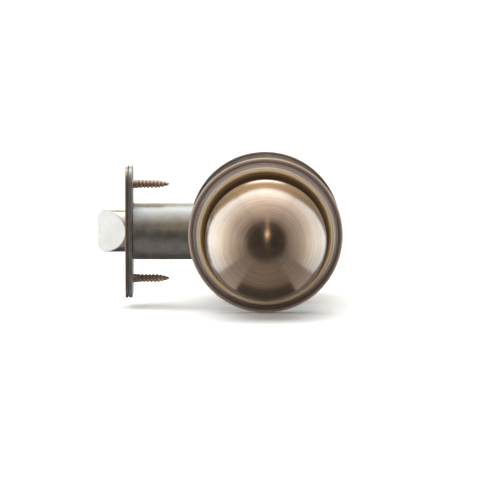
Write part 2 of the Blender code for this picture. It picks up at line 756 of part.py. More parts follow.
def make_catch(turning, pressing, rear, core, shank):
    """The catch that holds the interior knob on its shank, in a hole on the lower side.

    The frame's Y axis points down on this side of the door.
    """
    for target in (rear, core, shank):
        hole = rod(f"catch_hole_{target.name}", CATCH_RADIUS + GAP, 0.0, NECK_RADIUS + EXTRA)
        cut(target, helper(hole, turning, (0, 0, CATCH_HEIGHT), (-math.pi / 2, 0, 0)))
    flange_top = SHANK_BORE * math.cos(math.asin(CATCH_FLANGE_RADIUS / SHANK_BORE)) - GAP
    flange_base = flange_top - CATCH_FLANGE_THICKNESS
    catch = turned(
        "knob_catch",
        [
            (0.0, NECK_RADIUS),
            (CATCH_RADIUS * 0.7, NECK_RADIUS - 0.1 * MM),
            (CATCH_RADIUS, NECK_RADIUS - 0.5 * MM),
            (CATCH_RADIUS, flange_top),
            (CATCH_FLANGE_RADIUS, flange_top),
            (CATCH_FLANGE_RADIUS, flange_base),
            (0.0, flange_base),
        ],
        closed=False,
        steps=SMALL_STEPS,
    )
    place(catch, pressing, "bright_nickel", (0, 0, 0), (-math.pi / 2, 0, 0))
    # An open ring reaches from the catch to the far wall of the shank's bore.
    near = flange_base - GAP
    far = SHANK_BORE - GAP
    outer = (near + far) / 2
    centre = (0.0, near - outer)
    strip = arc(outer, -70, 250, 25, centre) + arc(outer - CATCH_STRIP, 250, -70, 25, centre)
    half = CATCH_STRIP_WIDTH / 2
    spring = flat("catch_spring", [strip], CATCH_HEIGHT - half, CATCH_HEIGHT + half)
    place(spring, turning, "spring_steel")


# ---------------------------------------------------------------- latch


def make_faceplates(fixed):
    """The finished faceplate and the steel backplate behind it, with their screws."""
    opening = d_outline(GAP)
    outline = rounded_rectangle(FACEPLATE_HEIGHT / 2, FACEPLATE_WIDTH / 2, FACEPLATE_CORNER)
    faceplate = flat("latch_faceplate", [outline, opening], FACEPLATE_BACK, FACE)
    place(faceplate, fixed, "antique_brass")
    backplate = flat("latch_backplate", [outline, opening], BACKPLATE_BACK, BACKPLATE_FACE)
    place(backplate, fixed, "zinc_steel")
    head_top = FACE - 0.1 * MM
    cone = WOOD_SCREW_HEAD_RADIUS - WOOD_SCREW_RADIUS
    for label, way in (("upper", 1), ("lower", -1)):
        where = (way * FACEPLATE_SCREW_OFFSET, 0, 0)
        sink = rod(
            f"{label}_countersink_cutter",
            WOOD_SCREW_RADIUS + 1.5 * GAP,
            head_top - cone,
            head_top + EXTRA,
            top_radius=WOOD_SCREW_HEAD_RADIUS + 1.5 * GAP + EXTRA,
        )
        bore = rod(
            f"{label}_wood_screw_bore_cutter",
            WOOD_SCREW_RADIUS + 1.5 * GAP,
            BACKPLATE_BACK - EXTRA,
            FACE + EXTRA,
        )
        sink, bore = helper(sink, fixed, where), helper(bore, fixed, where)
        cut(faceplate, sink, bore)
        cut(backplate, sink, bore)
        end = FACE - WOOD_SCREW_LENGTH
        screw = turned(
            f"{label}_faceplate_screw",
            [
                (0.0, head_top),
                (WOOD_SCREW_HEAD_RADIUS, head_top),
                (WOOD_SCREW_RADIUS, head_top - cone),
                (WOOD_SCREW_RADIUS, end + 4 * MM),
                (0.0, end),
            ],
            closed=False,
            steps=SMALL_STEPS,
        )
        place(screw, fixed, "antique_brass", where)
        cut(screw, *recess(f"{label}_faceplate_screw", fixed, where, head_top))


def make_tube(fixed):
    """The tube that lines the edge bore, and the disc that the bolt's spring pushes on."""
    inner = TUBE_INNER
    tube = turned(
        "latch_tube",
        [(TUBE_RADIUS, TUBE_FACE), (TUBE_RADIUS, TUBE_END), (inner, TUBE_END), (inner, TUBE_FACE)],
    )
    place(tube, fixed, "zinc_steel")
    rim = inner - GAP
    bore = TAIL_RADIUS + GAP
    back = STOP_FRONT - STOP_THICKNESS
    stop = turned(
        "spring_stop", [(rim, STOP_FRONT), (rim, back), (bore, back), (bore, STOP_FRONT)]
    )
    place(stop, fixed, "zinc_steel")


def make_bolt(sliding):
    """The D-shaped bolt: bevelled on the exterior side, round at its tip's corners, hollow behind."""
    bolt = flat("latch_bolt", [d_outline()], BOLT_REAR, BOLT_TIP)
    place(bolt, sliding, "bright_nickel")
    half = BOLT_THICKNESS / 2
    bevel = flat(
        "bolt_bevel_cutter",
        [
            [
                (-half - EXTRA, FACE - EXTRA * (BOLT_TIP - FACE) / (BOLT_THICKNESS - BOLT_TIP_LAND)),
                (half - BOLT_TIP_LAND, BOLT_TIP),
                (half - BOLT_TIP_LAND, BOLT_TIP + EXTRA),
                (-half - EXTRA, BOLT_TIP + EXTRA),
            ]
        ],
        -BOLT_RADIUS - EXTRA,
        BOLT_RADIUS + EXTRA,
    )
    cut(bolt, helper(bevel, sliding, (0, 0, 0), THROUGH_LATCH))
    middle = (BOLT_TIP + BOLT_REAR) / 2
    tip = BOLT_TIP - middle
    silhouette = [
        *arc(BOLT_CORNER, 0, 90, 6, (BOLT_RADIUS - BOLT_CORNER, tip - BOLT_CORNER)),
        *arc(BOLT_CORNER, 90, 180, 6, (BOLT_CORNER - BOLT_RADIUS, tip - BOLT_CORNER)),
        (-BOLT_RADIUS, -tip - EXTRA),
        (BOLT_RADIUS, -tip - EXTRA),
    ]
    envelope = flat("bolt_silhouette", [silhouette], -BOLT_THICKNESS, BOLT_THICKNESS)
    boolean(bolt, helper(envelope, sliding, (0, 0, middle), OUT_EXTERIOR), "INTERSECT")
    cavity = rod("bolt_cavity_cutter", CAVITY_RADIUS, BOLT_REAR - EXTRA, CAVITY_END, STEPS)
    socket = rod(
        "bolt_tail_cutter", TAIL_RADIUS + GAP, CAVITY_END - EXTRA, CAVITY_END + TAIL_GRIP + GAP
    )
    cut(bolt, helper(cavity, sliding), helper(socket, sliding))


def make_tail(sliding):
    tail = rod("tail_rod", TAIL_RADIUS, WEB_FRONT - WEB_LENGTH + 0.5 * MM, CAVITY_END + TAIL_GRIP)
    place(tail, sliding, "zinc_steel")


def make_bolt_spring(fixed):
    """A compression spring between the stop and the bottom of the bolt's cavity."""
    low = STOP_FRONT + GAP + BOLT_WIRE_RADIUS
    high = CAVITY_END - GAP - BOLT_WIRE_RADIUS
    points = []
    for t in np.linspace(0, 1, 10 * BOLT_TURNS):
        angle = 2 * math.pi * BOLT_TURNS * t
        points.append(
            (
                BOLT_COIL_RADIUS * math.cos(angle),
                BOLT_COIL_RADIUS * math.sin(angle),
                low + (high - low) * t,
            )
        )
    place(wire("bolt_spring", points, BOLT_WIRE_RADIUS), fixed, "spring_steel")


def rivet_places():
    """Where the rivets cross the latch, as (label, X, Z)."""
    front = -(TUBE_END - FRONT_RIVET_SETBACK)
    rear = REAR_RIVET_PLACE
    return [
        ("front_upper", front, FRONT_RIVET_OFFSET),
        ("front_lower", front, -FRONT_RIVET_OFFSET),
        ("rear_upper", rear, REAR_RIVET_OFFSET),
        ("rear_lower", rear, -REAR_RIVET_OFFSET),
    ]


def make_side_plates(fixed):
    """Two side plates that carry the hub, held apart by rivets. Their tongues sit in the tube."""
    tongue = -(TUBE_END - GAP)
    chamfer = SIDE_CHAMFER
    outline = [
        (-SIDE_FRONT, TONGUE_HALF_HEIGHT),
        (tongue, TONGUE_HALF_HEIGHT),
        (tongue, SIDE_HALF_HEIGHT),
        (SIDE_REAR - chamfer, SIDE_HALF_HEIGHT),
        (SIDE_REAR, SIDE_HALF_HEIGHT - chamfer),
        (SIDE_REAR, chamfer - SIDE_HALF_HEIGHT),
        (SIDE_REAR - chamfer, -SIDE_HALF_HEIGHT),
        (tongue, -SIDE_HALF_HEIGHT),
        (tongue, -TONGUE_HALF_HEIGHT),
        (-SIDE_FRONT, -TONGUE_HALF_HEIGHT),
    ]
    holes = [arc(HUB_RADIUS + GAP, 0, 360 - 360 / STEPS, STEPS)]
    for _, x, z in rivet_places():
        holes.append(arc(RIVET_RADIUS + GAP, 0, 330, 12, (x, z)))
    for side, way in (("exterior", 1), ("interior", -1)):
        low, high = sorted((way * SIDE_INNER, way * (SIDE_INNER + SIDE_THICKNESS)))
        place(flat(f"{side}_latch_side", [outline, *holes], low, high), fixed, "zinc_steel")


def make_rivets(fixed):
    seat = SIDE_INNER + SIDE_THICKNESS + GAP
    head = seat + RIVET_HEAD_THICKNESS
    for label, x, z in rivet_places():
        rivet = turned(
            f"{label}_rivet",
            [
                (0.0, head),
                (RIVET_HEAD_RADIUS, head),
                (RIVET_HEAD_RADIUS, seat),
                (RIVET_RADIUS, seat),
                (RIVET_RADIUS, -seat),
                (RIVET_HEAD_RADIUS, -seat),
                (RIVET_HEAD_RADIUS, -head),
                (0.0, -head),
            ],
            closed=False,
            steps=12,
        )
        place(rivet, fixed, "zinc_steel", (x, z, 0))


def make_hub(turning):
    """The hub: a barrel with a square hole and two arms that lean towards the bolt."""
    end = SIDE_INNER + SIDE_THICKNESS + GAP
    hub = rod("latch_hub", HUB_RADIUS, -end, end, STEPS)
    place(hub, turning, "sintered_brass")
    for label, way in (("upper", 1), ("lower", -1)):
        # The arm is drawn upright and turned back by half the knob's turn.
        lean = KNOB_TURN / 2 if way > 0 else math.pi - KNOB_TURN / 2
        arm = box(
            f"{label}_hub_arm",
            (-ARM_HALF_WIDTH, HUB_RADIUS - EXTRA, -ARM_HALF_THICKNESS),
            (ARM_HALF_WIDTH, ARM_LENGTH, ARM_HALF_THICKNESS),
        )
        tip = rod(f"{label}_hub_tip", ARM_TIP_RADIUS, -ARM_HALF_THICKNESS, ARM_HALF_THICKNESS)
        tip.data.transform(Matrix.Translation((0, ARM_LENGTH, 0)))
        join(hub, helper(arm, turning, (0, 0, 0), (0, 0, lean)))
        join(hub, helper(tip, turning, (0, 0, 0), (0, 0, lean)))
    half = SOCKET_SIDE / 2
    square = box("hub_square_cutter", (-half, -half, -end - EXTRA), (half, half, end + EXTRA))
    cut(hub, helper(square, turning))


def make_yoke(sliding):
    """The yoke: two slotted strips astride the hub's arms, two crossbars and a solid web."""
    face = GAP + ARM_TIP_RADIUS - ARM_LENGTH * math.sin(KNOB_TURN / 2)
    rear = YOKE_REAR
    front = -(WEB_FRONT - WEB_LENGTH)
    outline = rounded_rectangle((rear - front) / 2, YOKE_HALF_HEIGHT, 1.5 * MM, 3)
    outline = [(x + (rear + front) / 2, z) for x, z in outline]
    slot = [
        *arc(SLOT_HALF_HEIGHT, -90, 90, 13),
        *arc(SLOT_HALF_HEIGHT, 90, 270, 13, (-THROW, 0)),
    ]
    web = box(
        "latch_yoke",
        (-WEB_FRONT, -WEB_HALF_HEIGHT, -YOKE_OUTER),
        (front + EXTRA, WEB_HALF_HEIGHT, YOKE_OUTER),
    )
    place(web, sliding, "zinc_steel")
    for side, way in (("exterior", 1), ("interior", -1)):
        low, high = sorted((way * YOKE_INNER, way * YOKE_OUTER))
        strip = flat(f"{side}_yoke_strip", [outline, slot], low, high)
        join(web, helper(strip, sliding))
    relief = box(
        "yoke_web_relief_cutter",
        (front, -WEB_HALF_HEIGHT - EXTRA, -YOKE_INNER),
        (front + 2 * EXTRA, WEB_HALF_HEIGHT + EXTRA, YOKE_INNER),
    )
    cut(web, helper(relief, sliding))
    for label, way in (("upper", 1), ("lower", -1)):
        low, high = sorted((way * CROSSBAR_BASE, way * YOKE_HALF_HEIGHT))
        reach = (YOKE_INNER + YOKE_OUTER) / 2
        bar = box(
            f"{label}_yoke_crossbar", (face, low, -reach), (face + CROSSBAR_THICKNESS, high, reach)
        )
        join(web, helper(bar, sliding))
    hole = rod(
        "yoke_tail_cutter", TAIL_RADIUS + GAP, WEB_FRONT - WEB_LENGTH - EXTRA, WEB_FRONT + EXTRA
    )
    cut(web, helper(hole, sliding, (0, 0, 0), (0, -math.pi / 2, 0)))


def make_latch():
    fixed_along = axis_frame("latch_axis", (0, 0, 0), OUT_LATCH)
    fixed_across = axis_frame("latch_case_axis", (0, 0, 0), OUT_EXTERIOR)
    sliding_along = axis_frame("bolt_slide_axis", (0, 0, 0), OUT_LATCH)
    sliding_across = axis_frame("yoke_slide_axis", (0, 0, 0), OUT_EXTERIOR)
    hub_turn = axis_frame("hub_turn_axis", (0, 0, 0), OUT_EXTERIOR)
    make_faceplates(fixed_along)
    make_tube(fixed_along)
    make_bolt_spring(fixed_along)
    make_side_plates(fixed_across)
    make_rivets(fixed_across)
    make_bolt(sliding_along)
    make_tail(sliding_along)
    make_yoke(sliding_across)
    make_hub(hub_turn)


def make_knob_sets():
    exterior_face = (0, -DOOR_THICKNESS / 2, 0)
    interior_face = (0, DOOR_THICKNESS / 2, 0)
    exterior = axis_frame("exterior_axis", exterior_face, OUT_EXTERIOR)
    interior = axis_frame("interior_axis", interior_face, OUT_INTERIOR)
    exterior_turn = axis_frame("exterior_knob_turn_axis", exterior_face, OUT_EXTERIOR)
    interior_turn = axis_frame("interior_knob_turn_axis", interior_face, OUT_INTERIOR)
    pressing = axis_frame(
        "knob_catch_axis", (0, DOOR_THICKNESS / 2 + CATCH_HEIGHT, 0), OUT_INTERIOR
    )
    make_side("exterior", exterior, exterior_turn, POST_NECK_RADIUS + GAP)
    make_spindle(exterior_turn)
    make_posts(exterior)
    rear, core, shank = make_side("interior", interior, interior_turn, SCREW_RADIUS + GAP)
    make_mounting_screws(interior)
    make_catch(interior_turn, pressing, rear, core, shank)


clear_scene()
parts = collection("passage_knob_set")
cutters = collection("cutters")
make_knob_sets()
make_latch()
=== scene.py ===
import json
import math

import bmesh
import bpy
import numpy as np
from mathutils import Matrix, Vector, geometry


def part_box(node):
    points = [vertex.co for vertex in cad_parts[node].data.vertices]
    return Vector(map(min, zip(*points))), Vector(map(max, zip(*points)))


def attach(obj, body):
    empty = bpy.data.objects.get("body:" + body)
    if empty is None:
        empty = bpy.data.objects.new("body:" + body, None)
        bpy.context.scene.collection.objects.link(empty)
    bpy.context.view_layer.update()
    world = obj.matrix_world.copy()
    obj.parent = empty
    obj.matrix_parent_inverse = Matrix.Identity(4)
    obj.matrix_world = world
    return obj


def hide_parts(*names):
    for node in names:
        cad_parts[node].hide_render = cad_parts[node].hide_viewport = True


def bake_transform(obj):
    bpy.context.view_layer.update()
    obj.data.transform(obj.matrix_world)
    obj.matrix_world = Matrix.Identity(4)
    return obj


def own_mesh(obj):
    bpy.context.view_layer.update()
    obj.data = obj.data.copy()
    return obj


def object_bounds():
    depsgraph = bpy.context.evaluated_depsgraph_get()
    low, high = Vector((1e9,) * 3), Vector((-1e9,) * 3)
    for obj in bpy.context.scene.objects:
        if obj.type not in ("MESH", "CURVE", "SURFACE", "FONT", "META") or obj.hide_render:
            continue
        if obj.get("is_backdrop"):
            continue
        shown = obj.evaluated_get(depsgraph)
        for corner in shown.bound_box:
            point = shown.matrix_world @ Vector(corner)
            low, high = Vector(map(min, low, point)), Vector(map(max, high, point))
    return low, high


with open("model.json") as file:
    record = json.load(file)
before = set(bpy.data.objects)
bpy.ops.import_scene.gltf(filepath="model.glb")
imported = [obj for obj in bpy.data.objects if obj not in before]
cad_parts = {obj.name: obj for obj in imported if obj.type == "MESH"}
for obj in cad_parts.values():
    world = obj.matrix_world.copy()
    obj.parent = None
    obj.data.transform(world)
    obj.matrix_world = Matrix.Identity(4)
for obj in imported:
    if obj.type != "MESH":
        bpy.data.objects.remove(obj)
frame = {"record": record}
cad_low, cad_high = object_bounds()

# A passage door-knob set: a ball knob and a stepped rose on each side of the door, and the tubular
# latch between them. Metres; +Z up; the spindle runs along Y and the bolt points along -X.

MM = 0.001
ROUND = 120             # columns round a large turned piece
FINE = 32               # columns round a screw, post or rivet
SHARP = 38              # degrees between two faces past which their edge is drawn sharp
WELD = 1e-7             # metres within which two points are one

DOOR = 44.45 * MM
GAP = 0.3 * MM
THROW = 12.7 * MM
FACE = 60.825 * MM      # faceplate's front, from the spindle's axis
BOLT_RADIUS = 9.3 * MM
BOLT_BACK = 6.5 * MM    # the bolt's flat back, from the tube's axis
NECK_RADIUS = 12.9 * MM
POST_RISE = 19.05 * MM  # posts and mounting screws above and below the spindle
SCREW_RISE = 20.6 * MM  # faceplate screws above and below the bolt
HOLE_HALF = 4.3 * MM    # half the side of a square hole for the spindle
CATCH_RISE = 9.9 * MM   # the catch's hole in the neck, from the door's face

# A piece's own axes, as rows of the door's axes: (turn, origin)
EXTERIOR = (np.array([[1, 0, 0], [0, 0, -1], [0, 1, 0]], float), np.array([0, -DOOR / 2, 0]))
INTERIOR = (np.array([[1, 0, 0], [0, 0, 1], [0, -1, 0]], float), np.array([0, DOOR / 2, 0]))
ALONG = (np.array([[0, 0, -1], [0, 1, 0], [1, 0, 0]], float), np.zeros(3))
ACROSS = (np.array([[1, 0, 0], [0, 0, -1], [0, 1, 0]], float), np.zeros(3))


# ---------------------------------------------------------------- lines


def whole_turn(count):
    """This many evenly spaced angles round a circle."""
    return np.linspace(0, 2 * np.pi, count, endpoint=False)


def polar(radius, angle, *height):
    """Points (r cos a, r sin a), with a height as a third part if one is given."""
    parts = np.broadcast_arrays(radius * np.cos(angle), radius * np.sin(angle), *height)
    return np.stack(parts, axis=-1)


def arc(radius, start, end, count, centre=(0.0, 0.0)):
    """Points centre + radius (cos a, sin a), for evenly spaced angles a in degrees."""
    return np.array(centre) + polar(radius, np.radians(np.linspace(start, end, count)))


def softened(corners, radius, closed=True, steps=4):
    """A line whose corners become arcs that touch both neighbouring sides.

    Arc = centre + the turn from one touching point to the other, at equal steps of angle. A radius
    too large for its sides is cut to what fits.
    """
    p = np.asarray(corners, float)
    r = np.broadcast_to(np.asarray(radius, float), (len(p),)).copy()
    if not closed:
        r[[0, -1]] = 0
    a, b = np.roll(p, 1, 0) - p, np.roll(p, -1, 0) - p
    long_a, long_b = np.linalg.norm(a, axis=1), np.linalg.norm(b, axis=1)
    a, b = a / long_a[:, None], b / long_b[:, None]
    half = 0.5 * np.arccos(np.clip((a * b).sum(1), -1, 1))
    reach = np.minimum(r / np.tan(np.maximum(half, 1e-4)), 0.48 * np.minimum(long_a, long_b))
    r = reach * np.tan(np.minimum(half, 1.5707))
    turn = np.pi - 2 * half
    bends = (turn > 1e-3) & (reach > 1e-9)
    middle = (a + b) / np.maximum(np.linalg.norm(a + b, axis=1), 1e-9)[:, None]
    centre = p + middle * (r / np.sin(np.maximum(half, 1e-4)))[:, None]
    s = np.linspace(0, 1, steps + 1)[None, :, None]
    sweep = np.where(bends, turn, 1.0)[:, None, None]
    one = (p + a * reach[:, None] - centre)[:, None]
    two = (p + b * reach[:, None] - centre)[:, None]
    bent = centre[:, None] + (np.sin((1 - s) * sweep) * one + np.sin(s * sweep) * two) / np.sin(sweep)
    line = np.where(bends[:, None, None], bent, p[:, None]).reshape(-1, p.shape[1])
    kept = np.linalg.norm(line - np.roll(line, 1, 0), axis=1) > 1e-7
    kept[0] |= not closed
    return line[kept]


def divided(line, longest):
    """The same closed line, with every side longer than this split evenly."""
    parts = []
    for here, there in zip(line, np.roll(line, -1, 0)):
        count = math.ceil(np.linalg.norm(there - here) / longest)
        parts.append(here + (there - here) * np.linspace(0, 1, count, endpoint=False)[:, None])
    return np.vstack(parts)


def rounded_rectangle(half_width, half_height, corner, count=10):
    """Four quarter circles round the corners' centres; straight sides join them."""
    centres = ((1, 1), (-1, 1), (-1, -1), (1, -1))
    return np.vstack([
        arc(corner, 90 * k, 90 * k + 90, count, (i * (half_width - corner), j * (half_height - corner)))
        for k, (i, j) in enumerate(centres)
    ])


def ring(radius, count=ROUND, centre=(0.0, 0.0)):
    """A closed circle of evenly spaced points, centre + radius (cos a, sin a)."""
    return arc(radius, 0, 360 * (1 - 1 / count), count, centre)


# ---------------------------------------------------------------- surfaces


def skin(points, loop_rows=False, loop_columns=True, flat=False):
    """Faces between neighbouring rows and columns of a grid of points.

    The surface's own coordinates are the share of the way round and the length along, in metres.
    """
    rows, columns = points.shape[:2]
    index = np.arange(rows * columns).reshape(rows, columns)
    step = np.linalg.norm(np.diff(points, axis=0, append=points[:1]), axis=2).mean(axis=1)
    along = np.concatenate(([0.0], np.cumsum(step)))
    i, j = np.meshgrid(
        np.arange(rows - 1 + loop_rows), np.arange(columns - 1 + loop_columns), indexing="ij"
    )
    down, right = (i + 1) % rows, (j + 1) % columns
    quads = np.stack((index[i, j], index[down, j], index[down, right], index[i, right]), axis=-1)
    u = np.stack((j, j, j + 1, j + 1), axis=-1) / columns
    v = np.stack((along[i], along[i + 1], along[i + 1], along[i]), axis=-1)
    return {
        "points": points.reshape(-1, 3),
        "quads": quads.reshape(-1, 4),
        "uv": np.stack((u, v), axis=-1).reshape(-1, 4, 2),
        "flat": np.full(quads.size // 4, flat),
    }


def turned(profile, columns=ROUND, closed=True, angles=None):
    """S(u, v) = (r(v) cos u, r(v) sin u, h(v)): (radius, height) points, down the outer side, turned
    about Z."""
    u = whole_turn(columns) if angles is None else angles
    return skin(polar(profile[:, :1], u, profile[:, 1:]), loop_rows=closed)


def turned_part(corners, radii, columns=ROUND, closed=True, steps=4):
    """A turned piece from its profile's corners and how far each is rounded, in millimetres."""
    return turned(softened(np.array(corners) * MM, np.array(radii) * MM, closed, steps), columns, closed)


def plate(outlines, low, high, edge=0.12 * MM, steps=2, cones=()):
    """Flat sheet: each outline carried through the thickness, along a quarter round at both rims.

    S(u, v) = outline(u) - inset(v) normal(u), at height h(v). The first outline is the outside and
    the rest are holes. A cone is a round hole given by its upper radius, lower radius and centre. Two
    flat caps close it.
    """
    bend = np.radians(np.linspace(0, 90, steps + 1))
    inset = edge * (1 - np.sin(bend))
    drop = edge * (1 - np.cos(bend))
    inset = np.concatenate((inset, inset[::-1]))
    height = np.concatenate((high - drop, low + drop[::-1]))
    skins, uppers, lowers = [], [], []
    cone_columns, blunt = 48, 0.4       # blunt keeps the inset short at a sharp corner
    for above, below, centre in cones:
        rims = [
            np.column_stack((ring(r, cone_columns, centre)[::-1], np.full(cone_columns, h)))
            for r, h in ((above, high), (below, low))
        ]
        skins.append(skin(np.stack(rims)))
        uppers.append(rims[0][:, :2])
        lowers.append(rims[1][:, :2])
    for k, outline in enumerate(outlines):
        p = np.asarray(outline, float)
        ahead = np.roll(p, -1, 0)
        area = (p[:, 0] * ahead[:, 1] - p[:, 1] * ahead[:, 0]).sum()
        if (area > 0) != (k == 0):
            p = p[::-1]
        side = np.roll(p, -1, 0) - p
        side /= np.linalg.norm(side, axis=1)[:, None]
        out = np.stack((side[:, 1], -side[:, 0]), axis=1)
        both = out + np.roll(out, 1, 0)
        normal = 2 * both / np.maximum((both**2).sum(1), blunt)[:, None]
        grid = p[None] - inset[:, None, None] * normal[None]
        grid = np.dstack((grid, np.broadcast_to(height[:, None], grid.shape[:2])))
        skins.append(skin(grid))
        uppers.insert(k, grid[0, :, :2])
        lowers.insert(k, grid[-1, :, :2])
    for rims, h, order in ((uppers, high, (0, 1, 2, 2)), (lowers, low, (2, 1, 0, 0))):
        flat = np.vstack(rims)
        faces = np.array(geometry.tessellate_polygon([
            np.column_stack((rim, np.zeros(len(rim)))).tolist() for rim in rims
        ]))
        a, b, c = (flat[faces[:, k]] for k in range(3))
        turned_over = np.cross(b - a, c - a) < 0
        faces[turned_over] = faces[turned_over][:, ::-1]
        quads = faces[:, order]
        skins.append({
            "points": np.column_stack((flat, np.full(len(flat), h))),
            "quads": quads, "uv": flat[quads], "flat": np.full(len(quads), True),
        })
    return join(skins)


def wire(path, radius, sides=14):
    """A round wire: S(u, v) = P(v) + radius (cos u N + sin u B), with N and B square to the path and
    taken from one slanting direction. At each end the path runs on by radius (cos a) / 2 while the
    wire narrows to radius (sin a), which makes a low dome."""
    path = np.asarray(path, float)
    t = np.gradient(path, axis=0)
    t /= np.linalg.norm(t, axis=1)[:, None]
    a = np.radians([0, 30, 60])
    reach, rise = 0.5 * radius * np.cos(a)[:, None], radius * np.sin(a)
    swell = np.concatenate((rise, np.full(len(path), radius), rise[::-1]))
    path = np.vstack((path[:1] - t[:1] * reach, path, path[-1:] + t[-1:] * reach[::-1]))
    t = np.vstack((np.repeat(t[:1], 3, axis=0), t, np.repeat(t[-1:], 3, axis=0)))
    slant = np.array([0.53, 0.61, 0.59])
    n = np.cross(t, slant)
    n /= np.linalg.norm(n, axis=1)[:, None]
    b = np.cross(t, n)
    u = whole_turn(sides)[None, :, None]
    points = path[:, None] + swell[:, None, None] * (np.cos(u) * n[:, None] + np.sin(u) * b[:, None])
    return skin(points[::-1])


def threaded(radius, depth, pitch, high, low, taper=0.0, columns=40):
    """A screw thread: r(u, h) = radius - depth |saw(h / pitch - u / 2 pi)|, which fades into the
    shank above and runs down to a point or a blunt end below. Its closed top is sunk in the head."""
    sunk, slack, rows_per_turn = 0.3 * MM, 0.04 * MM, 9
    high += sunk
    h = np.linspace(high, low, int((high - low) / pitch * rows_per_turn))[:, None]
    u = whole_turn(columns)
    saw = np.abs((h / pitch - u / (2 * np.pi)) % 1.0 - 0.5) * 2
    crest = np.clip((1 - saw) * 1.5 - 0.25, 0, 1)
    share = np.clip((high - h) / (1.5 * pitch) - 0.25, 0, 1)
    in_head = h > high - 0.29 * MM
    r = radius - depth * share * (1 - crest) - slack * in_head
    if taper:
        r = r * np.sqrt(np.clip((h - low) / taper, 0, 1))
    else:
        r = np.where(h < low + 0.6 * pitch, np.minimum(r, radius - depth), r)
    points = polar(r, u, h)
    start, end = (points[[k]] * [0, 0, 1] for k in (0, -1))
    return skin(np.concatenate((start, points, end)))


def cross_head(radius, top, dome, side_profile):
    """A screw's head with a cross recess.

    The top is a square grid in the middle whose lines bend into the round rim: p = (s, t) (1 + w (m /
    |(s, t)| - 1)) radius, with m = max(|s|, |t|) and w from 0 to 1 outwards. Its height is the dome
    less the deeper of two crossed slots with sloping walls. The rim is then turned down the side.
    """
    length, width, depth = 4.4 * MM, 0.95 * MM, 1.4 * MM
    wall, end_wall = 0.16 * MM, 2.2 * 0.16 * MM
    half = np.array([width / 2 - wall, width / 2, length / 2 - end_wall, length / 2]) / radius
    outwards = np.linspace(half[-1] + 0.04, 1, 7)
    half = np.concatenate((half, outwards, np.linspace(half[1], half[2], 8)[1:-1]))
    line = np.unique(np.concatenate((-half, [0.0], half)))
    s, t = np.meshgrid(line, line, indexing="ij")
    m = np.maximum(np.abs(s), np.abs(t))
    inner = length / 2 / radius
    w = np.clip((m - inner) / (1 - inner), 0, 1)
    bend = 1 + w * (m / np.maximum(np.hypot(s, t), 1e-9) - 1)
    x, y = s * bend * radius, t * bend * radius
    slots = [
        np.clip((width / 2 - np.abs(across)) / wall, 0, 1)
        * np.clip((length / 2 - np.abs(along)) / end_wall, 0, 1)
        for along, across in ((x, y), (y, x))
    ]
    z = top - dome * (x**2 + y**2) / radius**2 - depth * np.maximum(*slots)
    grid = np.stack((x, y, z), axis=2)
    n = len(line) - 1
    rim = np.concatenate((grid[n, :n], grid[n:0:-1, n], grid[0, n:0:-1], grid[:n, 0]))
    angles = np.arctan2(rim[:, 1], rim[:, 0])
    profile = np.vstack(([radius, top - dome], side_profile))
    top_skin = skin(grid.transpose(1, 0, 2)[:, ::-1], loop_columns=False)
    return join([top_skin, turned(profile, closed=False, angles=angles)])


def join(skins):
    """Several skins as one, with their point numbers counted on."""
    offsets = np.cumsum([0] + [len(s["points"]) for s in skins])
    return {
        "points": np.vstack([s["points"] for s in skins]),
        "quads": np.vstack([s["quads"] + o for s, o in zip(skins, offsets)]),
        "uv": np.vstack([s["uv"] for s in skins]),
        "flat": np.concatenate([s["flat"] for s in skins]),
    }


def moved(shape, offset, turn=None):
    """The same shape, turned by a matrix and then shifted."""
    points = shape["points"] if turn is None else shape["points"] @ np.asarray(turn, float).T
    return {**shape, "points": points + np.asarray(offset, float)}


def spun(angle):
    """The turn by this many degrees about Z."""
    c, s = math.cos(math.radians(angle)), math.sin(math.radians(angle))
    return np.array([[c, -s, 0], [s, c, 0], [0, 0, 1]])


def placed(name, data):
    """A new object in the scene."""
    obj = bpy.data.objects.new(name, data)
    bpy.context.scene.collection.objects.link(obj)
    return obj


def piece(name, node, body, finish, shape, axes, sharp=SHARP):
    """Welds a shape's seams and poles, puts it in its place and ties it to its CAD node."""
    if isinstance(shape, list):
        shape = join(shape)
    turn, origin = axes
    places = shape["points"] @ turn.T + origin
    _, first, where = np.unique(
        np.round(places / WELD).astype(np.int64), axis=0, return_index=True, return_inverse=True
    )
    quads, uv, flat = where.reshape(-1)[shape["quads"]], shape["uv"], shape["flat"]
    same = quads == np.roll(quads, -1, axis=1)
    whole, three = same.sum(1) == 0, same.sum(1) == 1
    keep = np.array([[1, 2, 3], [0, 2, 3], [0, 1, 3], [0, 1, 2]])[same[three].argmax(1)]
    triangles = np.take_along_axis(quads[three], keep, axis=1)
    triangle_uv = np.take_along_axis(uv[three], keep[:, :, None], axis=1)
    mesh = bpy.data.meshes.new(name)
    mesh.from_pydata(places[first], [], quads[whole].tolist() + triangles.tolist())
    layer = mesh.uv_layers.new(name="surface")
    layer.data.foreach_set("uv", np.concatenate((uv[whole].ravel(), triangle_uv.ravel())))
    mesh.polygons.foreach_set("use_smooth", ~np.concatenate((flat[whole], flat[three])))
    mesh.update()
    mesh.set_sharp_from_angle(angle=math.radians(sharp))
    mesh.materials.append(finish)
    obj = placed(name, mesh)
    if isinstance(body, str):
        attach(obj, body)
    else:
        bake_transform(obj)
    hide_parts(node)
    return obj


# ---------------------------------------------------------------- finishes


